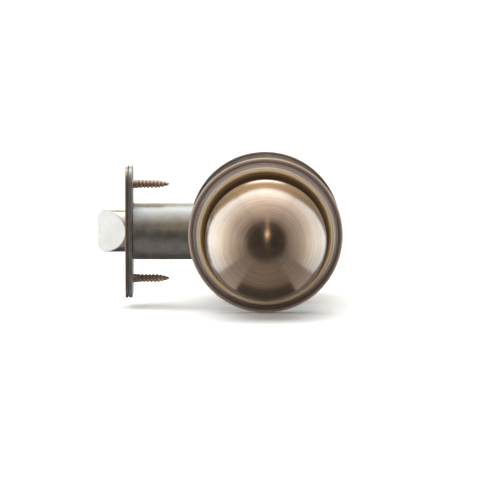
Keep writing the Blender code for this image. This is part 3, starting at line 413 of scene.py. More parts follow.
class Nodes:
    """A node tree that grows one node at a time; each call returns the new node's output."""

    def __init__(self, tree):
        self.tree = tree

    def add(self, kind, inputs, output=0, **settings):
        """A node of any kind; each input is a value or another node's output."""
        node = self.tree.nodes.new("ShaderNode" + kind)
        for name, value in settings.items():
            setattr(node, name, value)
        for name, value in inputs.items():
            if isinstance(value, bpy.types.NodeSocket):
                self.tree.links.new(value, node.inputs[name])
            else:
                node.inputs[name].default_value = value
        return node.outputs[output]

    def maths(self, operation, a, b=0.0, c=0.0, clamp=False):
        """One step of arithmetic on numbers or other nodes' outputs."""
        return self.add("Math", {0: a, 1: b, 2: c}, operation=operation, use_clamp=clamp)

    def split(self, vector):
        """A vector's three parts."""
        node = self.tree.nodes.new("ShaderNodeSeparateXYZ")
        self.tree.links.new(vector, node.inputs[0])
        return node.outputs

    def plus(self, a, b):
        return self.maths("ADD", a, b)

    def times(self, a, b):
        return self.maths("MULTIPLY", a, b)

    def noise(self, where, detail=3.0, rough=0.5, distortion=0.0):
        """Soft random clouds, about as wide as one unit of the place they are given."""
        return self.add("TexNoise", {
            "Vector": where, "Scale": 1.0, "Detail": detail, "Roughness": rough, "Distortion": distortion,
        })

    def ramp(self, value, stops):
        """Colours or greys along a value; each stop is (position, grey or colour)."""
        node = self.tree.nodes.new("ShaderNodeValToRGB")
        marks = node.color_ramp.elements
        for _ in range(len(stops) - 2):
            marks.new(0.5)
        for mark, (position, tone) in zip(marks, stops):
            mark.position = position
            mark.color = (*((tone,) * 3 if isinstance(tone, (int, float)) else tone), 1)
        self.tree.links.new(value, node.inputs[0])
        return node.outputs[0]

    def mix(self, share, a, b, blend="MIX"):
        """Colour a with a share of colour b mixed, multiplied or added in."""
        node = self.tree.nodes.new("ShaderNodeMix")
        node.data_type, node.blend_type = "RGBA", blend
        for socket, value in zip((node.inputs[0], node.inputs[6], node.inputs[7]), (share, a, b)):
            if isinstance(value, bpy.types.NodeSocket):
                self.tree.links.new(value, socket)
            else:
                socket.default_value = value if isinstance(value, float) else (*value, 1)
        return node.outputs[2]

    def stained(self, colour, pattern, start, end, share, stain):
        """A colour with a stain where a pattern is high: none at start, and this share from end on."""
        return self.mix(self.ramp(pattern, ((start, 0.0), (end, share))), colour, stain)

    def tinted(self, colour, tint):
        """A colour multiplied by a tint."""
        return self.mix(1.0, colour, tint, "MULTIPLY")

    def dot(self, vector, direction):
        """How far a vector reaches in one direction."""
        return self.add("VectorMath", {0: vector, 1: direction}, output="Value", operation="DOT_PRODUCT")


class Finish(Nodes):
    """A material for one kind of stock."""

    def __init__(self, name, metallic, roughness):
        self.made = bpy.data.materials.new(name)
        self.made.use_nodes = True
        super().__init__(self.made.node_tree)
        self.shader = self.tree.nodes["Principled BSDF"]
        self.bump = None
        self.set("Metallic", metallic)
        self.set("Roughness", roughness)

    def set(self, name, value):
        """Gives the shader a value, or ties another node's output to it."""
        if isinstance(value, bpy.types.NodeSocket):
            self.tree.links.new(value, self.shader.inputs[name])
        else:
            self.shader.inputs[name].default_value = value

    def place(self, scale=1):
        """The place on the piece, in metres, stretched by one scale or by one for each axis."""
        scale = scale if isinstance(scale, tuple) else (scale,) * 3
        return self.add("Mapping", {"Vector": self.add("TexCoord", {}, output="Object"), "Scale": scale})

    def round_the_axis(self):
        """Radius from the spindle's axis, and the two shares of the direction from it."""
        x, _, z = self.split(self.place())
        radius = self.maths("SQRT", self.plus(self.times(x, x), self.times(z, z)))
        safe = self.maths("MAXIMUM", radius, 0.0002)
        return radius, self.maths("DIVIDE", x, safe), self.maths("DIVIDE", z, safe)

    def surface(self):
        """A piece's own coordinates: the share of the way round, and the length along, in metres."""
        return self.split(self.add("UVMap", {}, uv_map="surface"))[:2]

    def vector(self, x, y, z):
        """Three values as one vector."""
        return self.add("CombineXYZ", {0: x, 1: y, 2: z})

    def grain(self, scale, detail=3.0, rough=0.5, distortion=0.0):
        """Noise over the whole piece."""
        return self.noise(self.place(scale), detail, rough, distortion)

    def lathe(self, rings_per_metre, wander, detail):
        """Turning marks: noise that changes fast along the profile and slowly round the axis."""
        _, cosine, sine = self.round_the_axis()
        _, along = self.surface()
        where = self.vector(
            self.times(cosine, wander), self.times(sine, wander), self.times(along, rings_per_metre)
        )
        return self.noise(where, detail, rough=0.6)

    def relief(self, height, distance, strength=1.0):
        """Adds fine relief, over any that is there already."""
        inputs = {"Height": height, "Distance": distance, "Strength": strength}
        if self.bump is not None:
            inputs["Normal"] = self.bump
        self.bump = self.add("Bump", inputs)

    def brushed(self, amount, rotation=0.25):
        """Stretches the gloss across the brush lines, which run round the piece or along it."""
        self.set("Tangent", self.add("Tangent", {}, direction_type="UV_MAP", uv_map="surface"))
        self.set("Anisotropic", amount)
        self.set("Anisotropic Rotation", rotation)

    def done(self, colour, roughness=None, coat=0.0, coat_rough=0.1):
        """Ties colour, roughness, relief and lacquer to the shader, and returns the material."""
        self.set("Base Color", colour)
        if roughness is not None:
            self.set("Roughness", roughness)
        if self.bump is not None:
            self.set("Normal", self.bump)
        self.set("Coat Weight", coat)
        self.set("Coat Roughness", coat_rough)
        return self.made


def knob_brass():
    """Turned and lacquered antique brass: rings from the lathe, and brown ageing in broad soft bands."""
    f = Finish("antique brass, turned", 1.0, 0.16)
    fine, rings, bands = f.lathe(3200.0, 0.9, 3.0), f.lathe(1150.0, 0.3, 2.0), f.lathe(230.0, 0.8, 2.0)
    clouds = f.grain(70, 4.0)
    colour = f.ramp(clouds, (
        (0.30, (0.57, 0.445, 0.36)), (0.52, (0.65, 0.51, 0.40)), (0.72, (0.71, 0.56, 0.42)),
    ))
    colour = f.stained(colour, rings, 0.42, 0.62, 0.28, (0.42, 0.295, 0.20))
    colour = f.stained(colour, fine, 0.4, 0.68, 0.34, (0.38, 0.28, 0.21))
    colour = f.stained(colour, bands, 0.45, 0.7, 0.16, (0.78, 0.66, 0.50))
    rough = f.plus(f.ramp(bands, ((0.3, 0.13), (0.7, 0.19))), f.times(fine, 0.05))
    f.relief(rings, 0.000006, 0.5)
    f.relief(fine, 0.000004, 0.5)
    f.brushed(0.5)
    return f.done(colour, rough, coat=0.15, coat_rough=0.12)


def rose_brass():
    """Antique brass, coloured by radius: brown in its cove and groove, patina with painted shade; bright
    yellow on its ridge, rubbed brass with a painted highlight; mauve grey just past the ridge, a painted
    reflection; pale on its rim, a painted highlight.

    Its colours and its metal share are set by radius, in millimetres, which wanders a little.
    """
    f = Finish("antique brass, relieved, with painted light", 0.86, 0.36)
    radius, _, _ = f.round_the_axis()
    wander = f.grain(160)
    per_metre = 28.0        # the ramps end at 1, which is 35.7 mm
    place = f.plus(f.times(radius, per_metre), f.times(f.maths("SUBTRACT", wander, 0.5), 0.006))
    # Painted light by radius: the cove and groove darkened as painted shade over the patina, the ridge
    # bright yellow as a painted highlight over rubbed brass, the band past it mauve grey as a painted
    # reflection, and the rim pale as a painted highlight.
    brass_and_painted_light_tones = (
        (13.0, (0.16, 0.115, 0.08)), (25.3, (0.19, 0.135, 0.09)), (27.3, (0.27, 0.20, 0.115)),
        (27.6, (0.98, 0.79, 0.50)), (28.5, (0.98, 0.79, 0.50)), (29.0, (0.66, 0.52, 0.37)),
        (29.5, (0.52, 0.45, 0.41)), (30.9, (0.50, 0.44, 0.42)), (31.25, (0.24, 0.19, 0.16)),
        (31.75, (0.40, 0.31, 0.27)), (32.2, (0.68, 0.56, 0.49)), (33.35, (0.62, 0.50, 0.43)),
    )
    # Less metal on the ridge lets its bright yellow show from the front, as part of the painted highlight.
    shares = ((27.3, 0.96), (27.8, 0.80), (28.2, 0.60), (28.7, 0.55), (29.2, 0.90))
    colour, metal = (
        f.ramp(place, [(mm * MM * per_metre, tone) for mm, tone in stops]) for stops in (brass_and_painted_light_tones, shares)
    )
    f.set("Metallic", metal)
    rings = f.lathe(2200.0, 0.5, 4.0)
    colour = f.mix(f.ramp(rings, ((0.4, 0.0), (0.75, 0.35))), colour, (0.45, 0.36, 0.28), "MULTIPLY")
    specks = f.grain(900, 2.0)
    rough = f.plus(f.ramp(specks, ((0.35, 0.31), (0.7, 0.39))), f.times(rings, 0.05))
    f.relief(rings, 0.000014, 0.5)
    f.relief(wander, 0.00005, 0.12)
    f.brushed(0.3)
    f.set("Specular Tint", (0.72, 0.60, 0.48, 1))
    return f.done(colour, rough, coat=0.08, coat_rough=0.2)


def faceplate_brass():
    """Satin plate with brush lines along its length."""
    f = Finish("satin brass plate", 1.0, 0.3)
    lines = f.grain((5000, 5000, 40))
    clouds = f.grain((120, 120, 60))
    colour = f.ramp(clouds, ((0.3, (0.55, 0.41, 0.33)), (0.7, (0.68, 0.51, 0.40))))
    colour = f.stained(colour, lines, 0.4, 0.75, 0.35, (0.40, 0.28, 0.22))
    rough = f.ramp(lines, ((0.3, 0.26), (0.7, 0.38)))
    f.relief(lines, 0.00001, 0.4)
    f.brushed(0.4, 0.0)
    return f.done(colour, rough)


def bright_nickel():
    """Polished plating with hairline scratches and a little waviness."""
    f = Finish("bright nickel plating", 1.0, 0.14)
    wave = f.grain(130, 2.0)
    hair = f.grain((2200, 420, 500), distortion=0.4)
    colour = f.ramp(wave, ((0.35, (0.70, 0.69, 0.67)), (0.65, (0.77, 0.76, 0.74))))
    colour = f.stained(colour, hair, 0.55, 0.75, 0.25, (0.53, 0.52, 0.50))
    rough = f.ramp(hair, ((0.35, 0.10), (0.7, 0.22)))
    f.relief(wave, 0.00006, 0.12)
    f.relief(hair, 0.000008, 0.25)
    return f.done(colour, rough)


def zinc_steel():
    """Zinc plating: soft grey mottling, a faint straw and blue bloom, and the sheet's grain."""
    f = Finish("zinc plated steel", 1.0, 0.38)
    mottle = f.grain(260, 5.0, rough=0.6)
    bloom = f.grain(55, 2.0)
    grain = f.grain((500, 4000, 2600), 2.0)
    colour = f.ramp(mottle, (
        (0.3, (0.47, 0.48, 0.49)), (0.55, (0.58, 0.59, 0.59)), (0.75, (0.68, 0.68, 0.67)),
    ))
    tint = f.ramp(bloom, ((0.35, (0.92, 0.97, 1.0)), (0.5, (1.0, 1.0, 1.0)), (0.68, (1.0, 0.95, 0.82))))
    colour = f.tinted(colour, tint)
    rough = f.ramp(mottle, ((0.3, 0.30), (0.7, 0.48)))
    f.relief(mottle, 0.00003, 0.2)
    f.relief(grain, 0.00001, 0.3)
    return f.done(colour, rough)


def dark_steel():
    """Oiled black steel, with a thin brown cast where the oxide has worn."""
    f = Finish("oiled dark steel", 1.0, 0.42)
    worn = f.grain(210, 5.0)
    grain = f.grain((2600, 300, 2600), 2.0)
    colour = f.ramp(worn, (
        (0.35, (0.13, 0.125, 0.125)), (0.55, (0.20, 0.19, 0.18)), (0.75, (0.34, 0.31, 0.28)),
    ))
    rough = f.ramp(worn, ((0.35, 0.46), (0.7, 0.30)))
    f.relief(grain, 0.00001, 0.4)
    f.relief(worn, 0.00003, 0.15)
    return f.done(colour, rough, coat=0.15, coat_rough=0.3)


def spring_steel():
    """Drawn wire and strip, with fine die lines and a faint heat tint."""
    f = Finish("spring steel", 1.0, 0.28)
    around, along = f.surface()
    lines = f.noise(f.vector(f.times(around, 40.0), f.times(along, 60.0), 0.0))
    tint = f.grain(90, 2.0)
    colour = f.ramp(tint, (
        (0.35, (0.36, 0.36, 0.37)), (0.55, (0.45, 0.44, 0.43)), (0.72, (0.50, 0.45, 0.37)),
    ))
    colour = f.stained(colour, lines, 0.45, 0.7, 0.4, (0.22, 0.22, 0.22))
    rough = f.ramp(lines, ((0.3, 0.22), (0.7, 0.36)))
    f.relief(lines, 0.000012, 0.4)
    return f.done(colour, rough)


def sintered_brass():
    """Pressed and sintered metal: a dull open grain with dark pores."""
    f = Finish("sintered brass", 1.0, 0.5)
    grain = f.grain(2400, 4.0, rough=0.7)
    pores = f.add("TexVoronoi", {"Vector": f.place(2600), "Scale": 1.0})
    colour = f.ramp(grain, ((0.3, (0.42, 0.32, 0.17)), (0.7, (0.66, 0.54, 0.32))))
    colour = f.mix(f.ramp(pores, ((0.05, 0.75), (0.25, 0.0))), colour, (0.14, 0.10, 0.06))
    rough = f.ramp(grain, ((0.3, 0.42), (0.7, 0.6)))
    f.relief(grain, 0.00003, 0.5)
    f.relief(pores, 0.00002, 0.3)
    return f.done(colour, rough)


def white_nylon():
    """Moulded nylon, slightly warm and cloudy, with a satin skin."""
    f = Finish("natural nylon", 0.0, 0.5)
    clouds = f.grain(180)
    skin_grain = f.grain(3000, 2.0)
    colour = f.ramp(clouds, ((0.3, (0.74, 0.72, 0.64)), (0.7, (0.84, 0.83, 0.77))))
    rough = f.ramp(skin_grain, ((0.3, 0.42), (0.7, 0.58)))
    f.set("Subsurface Weight", 0.25)
    f.set("Subsurface Radius", (0.002, 0.0015, 0.001))
    f.relief(skin_grain, 0.00001, 0.3)
    return f.done(colour, rough)


KNOB, ROSE, PLATE, NICKEL = knob_brass(), rose_brass(), faceplate_brass(), bright_nickel()
ZINC, DARK, SPRING = zinc_steel(), dark_steel(), spring_steel()
SINTERED, NYLON = sintered_brass(), white_nylon()


# ---------------------------------------------------------------- one side of the door


def dome():
    """The ball's front: arcs of the outer and inner spheres, joined by a rolled edge."""
    outer, inner, centre = 25.8 * MM, 24.6 * MM, (0.0, 30 * MM)
    outside = arc(outer, 90, -4.6, 56, centre)
    inside = arc(inner, -5.2, 90, 30, centre)
    edge = np.array([[25.52, 27.25], [25.15, 27.0], [24.62, 27.15]]) * MM
    outside[0, 0] = inside[-1, 0] = 0
    return turned(np.vstack((outside, edge, inside)), 160, closed=False)


def rear_shell_line():
    """The rear shell's outer line: a lip, a cubic curve over the shoulder, and the neck to its end.

    Curve: (1 - t)^3 A + 3 t (1 - t)^2 B + 3 t^2 (1 - t) C + t^3 D.
    """
    lip, neck = 24.287 * MM, NECK_RADIUS
    a, b, c, d = np.array([[lip, 27.0 * MM], [22.887 * MM, 16.0 * MM], [neck, 19.5 * MM], [neck, 11.5 * MM]])
    t = np.linspace(0, 1, 36)[:, None]
    curve = (1 - t) ** 3 * a + 3 * t * (1 - t) ** 2 * b + 3 * t**2 * (1 - t) * c + t**3 * d
    straight = np.column_stack((np.full(9, neck), np.linspace(11.0 * MM, 3.3 * MM, 9)))
    return np.vstack(([[lip, 31 * MM]], curve, straight))


def shelled(line, wall, edge=0.25 * MM):
    """A line given a wall on its inner side, with both ends rounded."""
    ahead = np.gradient(line, axis=0)
    ahead /= np.linalg.norm(ahead, axis=1)[:, None]
    inward = np.stack((ahead[:, 1], -ahead[:, 0]), axis=1)
    inside = line + wall * inward
    loop = np.vstack((line, inside[::-1]))
    n = len(line)
    radii = np.zeros(len(loop))
    radii[[0, n - 1, n, -1]] = edge
    return softened(loop, radii, steps=3)


def rose_line():
    """From the collar down through the cove, over the rolled ridge, and out across the rim."""
    cove = np.array([[13.5, 7.0], [14.9, 6.2], [17.1, 5.6], [24.3, 5.6], [26.5, 6.3], [27.68, 7.3]]) * MM
    bead = arc(1.0 * MM, 176, 4, 13, (28.7 * MM, 7.5 * MM))
    rim = np.array([
        [29.78, 6.6], [30.2, 5.0], [30.9, 2.75], [31.4, 2.3], [32.45, 2.7], [33.1, 2.4], [33.35, 1.7],
        [33.35, 0.0],
    ]) * MM
    radii = np.concatenate((
        [0, 1.2, 2.5, 2.5, 2.0, 0.6], np.zeros(len(bead)), [0.8, 1.2, 0.35, 0.3, 0.5, 0.4, 0.3, 0],
    )) * MM
    return softened(np.vstack((cove, bead, rim)), radii, closed=False, steps=5)


def core():
    """A sleeve round the shank, with a flange at its top that fills the rear shell."""
    top = (-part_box("exterior_knob_core")[0].y - DOOR / 2) / MM
    return turned_part(
        [[17.0, top], [17.0, top - 1.28], [11.6, top - 1.28], [11.6, 3.3], [10.3, 3.3], [10.3, top]],
        [0.3, 0.3, 1.0, 0.3, 0.3, 0.3],
    )


def polar_edges(edges, count=96):
    """Angles round a circle, evenly spaced, with a close pair at each place where the radius steps."""
    pairs = np.concatenate([[e - 1e-4, e + 1e-4] for e in edges])
    even = whole_turn(count)
    near = np.abs((even[:, None] - pairs[None] + np.pi) % (2 * np.pi) - np.pi).min(1)
    return np.sort(np.concatenate((even[near > 0.012], pairs)) % (2 * np.pi))


def shank():
    """Tube, socket, keyways and ring groove as one loop of rows, (radius, height) in millimetres.

    Outer radius r(u, h) = 10, less 1 in a keyway behind h = -7 and all round in the groove; the
    square socket is the row where max(|x|, |y|) = 4.3 mm.
    """
    half = 1.5 / 9.5
    sides = (math.pi / 2, 1.5 * math.pi)
    u = polar_edges([side + way * half for side in sides for way in (-1, 1)])
    top = (-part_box("exterior_shank")[0].y - DOOR / 2) / MM
    h = np.array([top - 0.25, -6.99, -7.0, -8.69, -8.7, -10.6, -10.61, -11.75])
    keyed = np.minimum(*(np.abs(u - side) for side in sides)) < half
    groove = (h <= -8.7) & (h >= -10.6)
    low = (h <= -7.0)[:, None] & keyed[None]
    r = np.where(low | groove[:, None], 9.0, 10.0)
    square = HOLE_HALF / MM / np.maximum(np.abs(np.cos(u)), np.abs(np.sin(u)))
    rows = [
        (8.45, top), (9.75, top), *zip(r, h), (r[-1] - 0.25, -12.0), (square + 0.2, -12.0),
        (square, -11.8), (square, -5.7), (square + 0.2, -5.5), (7.9, -5.5), (8.2, -5.2), (8.2, top - 0.25),
    ]
    r, h = (np.array([np.broadcast_to(row[k], u.shape) for row in rows]) * MM for k in (0, 1))
    return skin(polar(r, u, h), loop_rows=True)


def spring_tab(low, high):
    """The upright tab that a return spring's legs press on, on a driver or a mounting plate."""
    return plate([rounded_rectangle(1.1 * MM, 1.4 * MM, 0.3 * MM, 4) + [16.5 * MM, 0]], low, high)


def driver():
    """Keyed washer with an arm, both as radius against angle, and the tab bent up from the arm.

    Outside r(u) = 18.5 / cos u over the arm and 14.5 elsewhere; inside r(v) = 9.3 in a key and 10.3
    elsewhere, in millimetres.
    """
    reach, rim, hole, key_end = 18.5, 14.5, 10.3, 9.3
    half, key_half, spare = 2.087, 1.2, 0.04
    arm, arm_root = np.arctan2(half, reach), np.arcsin(half / rim)
    even = np.linspace(arm_root + spare, 2 * np.pi - arm_root - spare, 90)
    u = np.concatenate(([-arm_root, -arm, 0, arm, arm_root], even))
    r = np.where(np.abs(u) <= arm + 1e-6, reach / np.cos(u), rim)
    outer = polar(r, u) * MM
    wide, narrow = math.asin(key_half / hole), math.asin(key_half / key_end)
    ways = (math.pi / 2, 1.5 * math.pi)
    keys = [way + turn for way in ways for turn in (-wide, -narrow, narrow, wide)]
    sweep = whole_turn(80)
    clear = np.minimum(*(np.abs(sweep - way) for way in ways)) > wide + 0.03
    v = np.sort(np.concatenate((sweep[clear], keys)))
    in_key = np.minimum(*(np.abs(v - way) for way in ways)) <= narrow + 1e-6
    inner = polar(np.where(in_key, key_end, hole), v) * MM
    washer = plate([softened(outer, 0.25 * MM, steps=3), inner], -8.7 * MM, -7.3 * MM, 0.15 * MM)
    return [washer, spring_tab(-8.0 * MM, -4.1 * MM)]


def retaining_ring():
    """An open snap ring: two arcs whose ends lie on the same straight gap."""
    half_gap, inside, outside = 3.5, 9.3, 12.0
    far, near = (180 - math.degrees(math.asin(half_gap / radius)) for radius in (outside, inside))
    outer = arc(outside * MM, -far, far, 90)
    inner = arc(inside * MM, near, -near, 80)
    radii = np.zeros(len(outer) + len(inner))
    radii[[0, len(outer) - 1, len(outer), -1]] = 0.5 * MM
    return plate([softened(np.vstack((outer, inner)), radii)], -10.0 * MM, -9.0 * MM, 0.15 * MM)


def bushing():
    """A flanged sleeve that the shank turns in."""
    return turned_part(
        [[14.2, 3.0], [14.2, 1.5], [11.7, 1.5], [11.7, -7.0], [10.3, -7.0], [10.3, 3.0]],
        [0.35, 0.3, 0.25, 0.3, 0.3, 0.4],
    )


def mounting_plate(hole):
    """A disc with the bushing's hole and two for the posts or screws, and the spring's tab."""
    outlines = [ring(32.25 * MM, 160), ring(12.0 * MM)]
    outlines += [ring(hole, 40, (0, way * POST_RISE)) for way in (1, -1)]
    return [plate(outlines, 0, 1.2 * MM, 0.2 * MM, 3), spring_tab(-3.2 * MM, 0.6 * MM)]


def return_spring():
    """Helix of radius 13.1 mm and two turns, and its two legs, which turn out and then stand up.

    Coil: P(t) = (r cos a, r sin a, h), with angle and height both even in t. A leg is an L of two
    straight lines with a round bend, from the coil's end out to its radius and along the axis.
    """
    top, base, offset, leg, radius, thickness = -1.2, -5.86, 2.06, 16.5, 13.1, 0.6
    start = math.asin(offset / radius)
    t = np.linspace(0, 1, 170)
    a = start + (4 * math.pi - 2 * start) * t
    shapes = [wire(polar(radius, a, top + (base - top) * t) * MM, thickness * MM)]
    for way, here, there in ((1, top, base), (-1, base, top)):
        inner = radius * math.cos(start)
        aside = way * offset
        corners = np.array([[inner, aside, here], [leg, aside, here], [leg, aside, there]]) * MM
        line = softened(corners, np.array([0, 1.1, 0]) * MM, closed=False, steps=6)
        # A point halfway along each straight part keeps the wire straight up to its ends.
        first, last = (line[:1] + line[1:2]) / 2, (line[-2:-1] + line[-1:]) / 2
        shapes.append(wire(np.vstack((line[:1], first, line[1:-1], last, line[-1:])), thickness * MM))
    return shapes


def post():
    """A threaded stem with a riveted head, a shoulder in the plate's hole, and a blind bore."""
    return turned_part(
        [[0, 2.7], [3.0, 2.66], [3.7, 2.3], [3.9, 1.9], [3.9, 1.5], [2.7, 1.5], [2.7, -0.3], [3.5, -0.3],
         [3.5, -39.75], [2.38, -39.75], [2.38, -12.75], [0, -12.75]],
        [0, 0.8, 0.5, 0.3, 0.1, 0.1, 0.1, 0.2, 0.4, 0.3, 0.2, 0], FINE, closed=False,
    )


def mounting_screw():
    """A machine screw with a domed head."""
    radius, neck = 2.08 * MM, -1.0 * MM
    side = np.array([[3.8, 3.0], [3.8, 2.4], [3.8, 1.5], [2.08, 1.5], [2.08, -1.0], [0, -1.0]]) * MM
    side = softened(side, np.array([0, 0.3, 0.15, 0.15, 0, 0]) * MM, closed=False)
    head = cross_head(3.6 * MM, 3.8 * MM, 0.55 * MM, side)
    return [head, threaded(radius, 0.34 * MM, 0.79 * MM, neck, -26.7 * MM)]


def wood_screw():
    """A countersunk screw with a coarse thread and a point."""
    radius, neck = 1.9 * MM, 57.0 * MM
    side = np.array([[3.9, 60.62], [3.8, 60.45], [1.95, 58.6], [1.9, 57.0], [0, 57.0]]) * MM
    side = softened(side, np.array([0, 0.1, 0.1, 0, 0]) * MM, closed=False)
    head = cross_head(3.8 * MM, 60.725 * MM, 0.02 * MM, side)
    return [head, threaded(radius, 0.5 * MM, 1.6 * MM, neck, 41.83 * MM, taper=5 * MM)]


def drilled(obj, radius, start, end):
    """Cuts a round hole straight through a piece, between two places; the drill is then removed.

    The drill's columns stand a little off the piece's own, so that no two faces lie on each other.
    """
    start, end = Vector(start), Vector(end)
    n, offset = 48, 2.5
    drill = bpy.data.meshes.new("drill")
    rim = np.column_stack((arc(radius, offset, 355.0, n), np.zeros(n)))
    points = np.vstack((rim, rim + [0, 0, (end - start).length]))
    sides = [[k, (k + 1) % n, n + (k + 1) % n, n + k] for k in range(n)]
    drill.from_pydata(points.tolist(), [], sides + [list(range(n - 1, -1, -1)), list(range(n, 2 * n))])
    bit = placed("drill", drill)
    bit.matrix_world = Matrix.Translation(start) @ (end - start).to_track_quat("Z", "Y").to_matrix().to_4x4()
    cut = obj.modifiers.new("hole", "BOOLEAN")
    cut.operation, cut.solver, cut.object = "DIFFERENCE", "EXACT", bit
    bpy.context.view_layer.update()
    made = bpy.data.meshes.new_from_object(obj.evaluated_get(bpy.context.evaluated_depsgraph_get()))
    shape = bmesh.new()
    shape.from_mesh(made)
    near = 10 * WELD
    bmesh.ops.triangulate(shape, faces=[f for f in shape.faces if len(f.verts) > 4])
    bmesh.ops.remove_doubles(shape, verts=shape.verts, dist=near)
    bmesh.ops.dissolve_degenerate(shape, edges=shape.edges, dist=near)
    shape.to_mesh(made)
    shape.free()
    obj.modifiers.clear()
    obj.data = made
    bpy.data.objects.remove(bit)
    made.set_sharp_from_angle(angle=math.radians(SHARP))


def return_springs(side, knob, axes):
    """The coil winds between the knob and the plate; the leg ahead of the driver's tab turns with it."""
    joint = next(j for j in frame["record"]["behaviour"]["joints"] if j["child"] == knob)
    ahead = joint["axis"][1] * (1 if side == "interior" else -1) > 0
    coil, upper_leg, lower_leg = return_spring()
    node = f"{side}_return_spring"
    piece(f"{side}_spring_leg_top", node, knob if ahead else "chassis", SPRING, upper_leg, axes)
    piece(f"{side}_spring_leg_base", node, "chassis" if ahead else knob, SPRING, lower_leg, axes)
    turn, origin = axes
    ends = [tuple(turn @ np.array([0, 0, h * MM]) + origin) for h in (-1.5, -5.56)]
    if ahead:
        ends.reverse()
    piece(f"{side}_spring_coil", node, ("chassis", knob, *ends), SPRING, coil, axes)


for side, axes in (("exterior", EXTERIOR), ("interior", INTERIOR)):
    knob = side + "_knob"
    hole = 3.0 * MM if side == "exterior" else 2.38 * MM
    made = {}
    for name, node, body, finish, shape in (
        ("dome", "knob_dome", knob, KNOB, dome()),
        ("rear", "knob_rear_shell", knob, KNOB, turned(shelled(rear_shell_line(), 1.0 * MM))),
        ("core", "knob_core", knob, ZINC, core()),
        ("shank_tube", "shank", knob, ZINC, shank()),
        ("driver", "spring_driver", knob, DARK, driver()),
        ("snap_ring", "retaining_ring", knob, SPRING, retaining_ring()),
        ("bush", "bushing", "chassis", NYLON, bushing()),
        ("plate", "mounting_plate", "chassis", ZINC, mounting_plate(hole)),
    ):
        made[name] = piece(f"{side}_{name}", f"{side}_{node}", body, finish, shape, axes)
    return_springs(side, knob, axes)
    rose = turned(shelled(rose_line(), 0.8 * MM, 0.2 * MM), 200)
    piece(f"{side}_rose_shell", f"{side}_rose", "chassis", ROSE, rose, axes)
    if side == "interior":
        start, end = ((0, DOOR / 2 + CATCH_RISE, z * MM) for z in (-4, -16))
        for name in ("rear", "core", "shank_tube"):
            drilled(made[name], 1.7 * MM, start, end)
for label, way in (("upper", 1), ("lower", -1)):
    place = (0, way * POST_RISE, 0)
    screw = moved(join(mounting_screw()), place, spun(20 + 25 * way))
    long_screw = moved(join(wood_screw()), (way * SCREW_RISE, 0, 0), spun(12 + 30 * way))
    piece(f"{label}_post", f"{label}_mounting_post", "chassis", ZINC, moved(post(), place), EXTERIOR)
    piece(f"{label}_screw", f"{label}_mounting_screw", "chassis", ZINC, screw, INTERIOR)
    piece(f"{label}_wood_screw", f"{label}_faceplate_screw", "chassis", PLATE, long_screw, ALONG)

# ---------------------------------------------------------------- latch


def d_line(margin=0.0, corner=0.5 * MM):
    """The bolt's section: a half circle on the exterior side, straight sides and a flat back."""
    radius, back = BOLT_RADIUS + margin, BOLT_BACK + margin
    loop = np.vstack(([[radius, back]], arc(radius, 0, -180, 65, (0.0, 2.8 * MM)), [[-radius, back]]))
    radii = np.zeros(len(loop))
    radii[[0, -1]] = corner
    return softened(loop, radii, steps=5)[::-1]


def bolt():
    """The bolt as one grid of rows, from the middle of its tip to the bottom of its tail hole.

    Over the section, the end stands at the lowest of the tip's land, the bevel plane and the round
    corners seen from the side; a soft minimum rounds the edges between them. The last 0.35 mm before
    the side drops by a quarter circle. All in millimetres.
    """
    face, tip, rear, land, back = FACE / MM, (FACE + THROW) / MM, 50.0, 5.0, BOLT_BACK / MM
    soft, blur, corner = 0.35, 0.11, 3.5
    p = divided(d_line(), 0.5 * MM) / MM
    side = np.roll(p, -1, 0) - np.roll(p, 1, 0)
    side /= np.linalg.norm(side, axis=1)[:, None]
    out = np.stack((side[:, 1], -side[:, 0]), axis=1)
    inset = soft * (1 - np.cos(np.radians(np.linspace(90, 0, 7))))
    near = p[None] - inset[:, None, None] * out[None]
    inner = near[0] * np.sin(np.linspace(0, np.pi / 2, 44))[1:, None, None]
    cap = np.concatenate((np.zeros((1, len(p), 2)), inner[:-1], near))
    z, y = cap[..., 0], cap[..., 1]
    slope = THROW / MM / (land + back)
    bevel = face + (y + back) * slope
    reach = np.clip(np.abs(z) - (BOLT_RADIUS / MM - corner), 0, corner)
    corners = tip - corner + np.sqrt(np.maximum(corner**2 - reach**2, 0.0))
    stack = np.stack((bevel, corners, np.full_like(bevel, tip)))
    low = stack.min(0)
    end = low - blur * np.log(np.exp(-(stack - low) / blur).sum(0))
    drop = soft - np.sqrt(np.maximum(soft**2 - (soft - inset) ** 2, 0))
    end -= np.concatenate((np.zeros(len(inner)), drop))[:, None]
    end += (tip - end.max()) * np.clip((end - face) / (tip - face), 0, 1) ** 2
    cap = np.dstack((cap, end))
    circle = polar(1.0, np.arctan2(p[:, 1], p[:, 0]))
    wall_top = cap[-1, :, 2]
    rows = [(p, wall_top + (rear + 0.4 - wall_top) * t) for t in np.linspace(0, 1, 12)[1:]]
    rows += [(p - 0.12 * out, rear + 0.12), (p - 0.4 * out, rear)]
    bore = ((5.5, rear), (5.2, rear + 0.3), (5.2, 58.5), (2.5, 58.5), (2.5, 62.8), (0.0, 62.8))
    rows += [(circle * radius, height) for radius, height in bore]
    walls = [np.column_stack((xy, np.broadcast_to(height, len(p)))) for xy, height in rows]
    return skin(np.concatenate((cap, walls)) * MM)


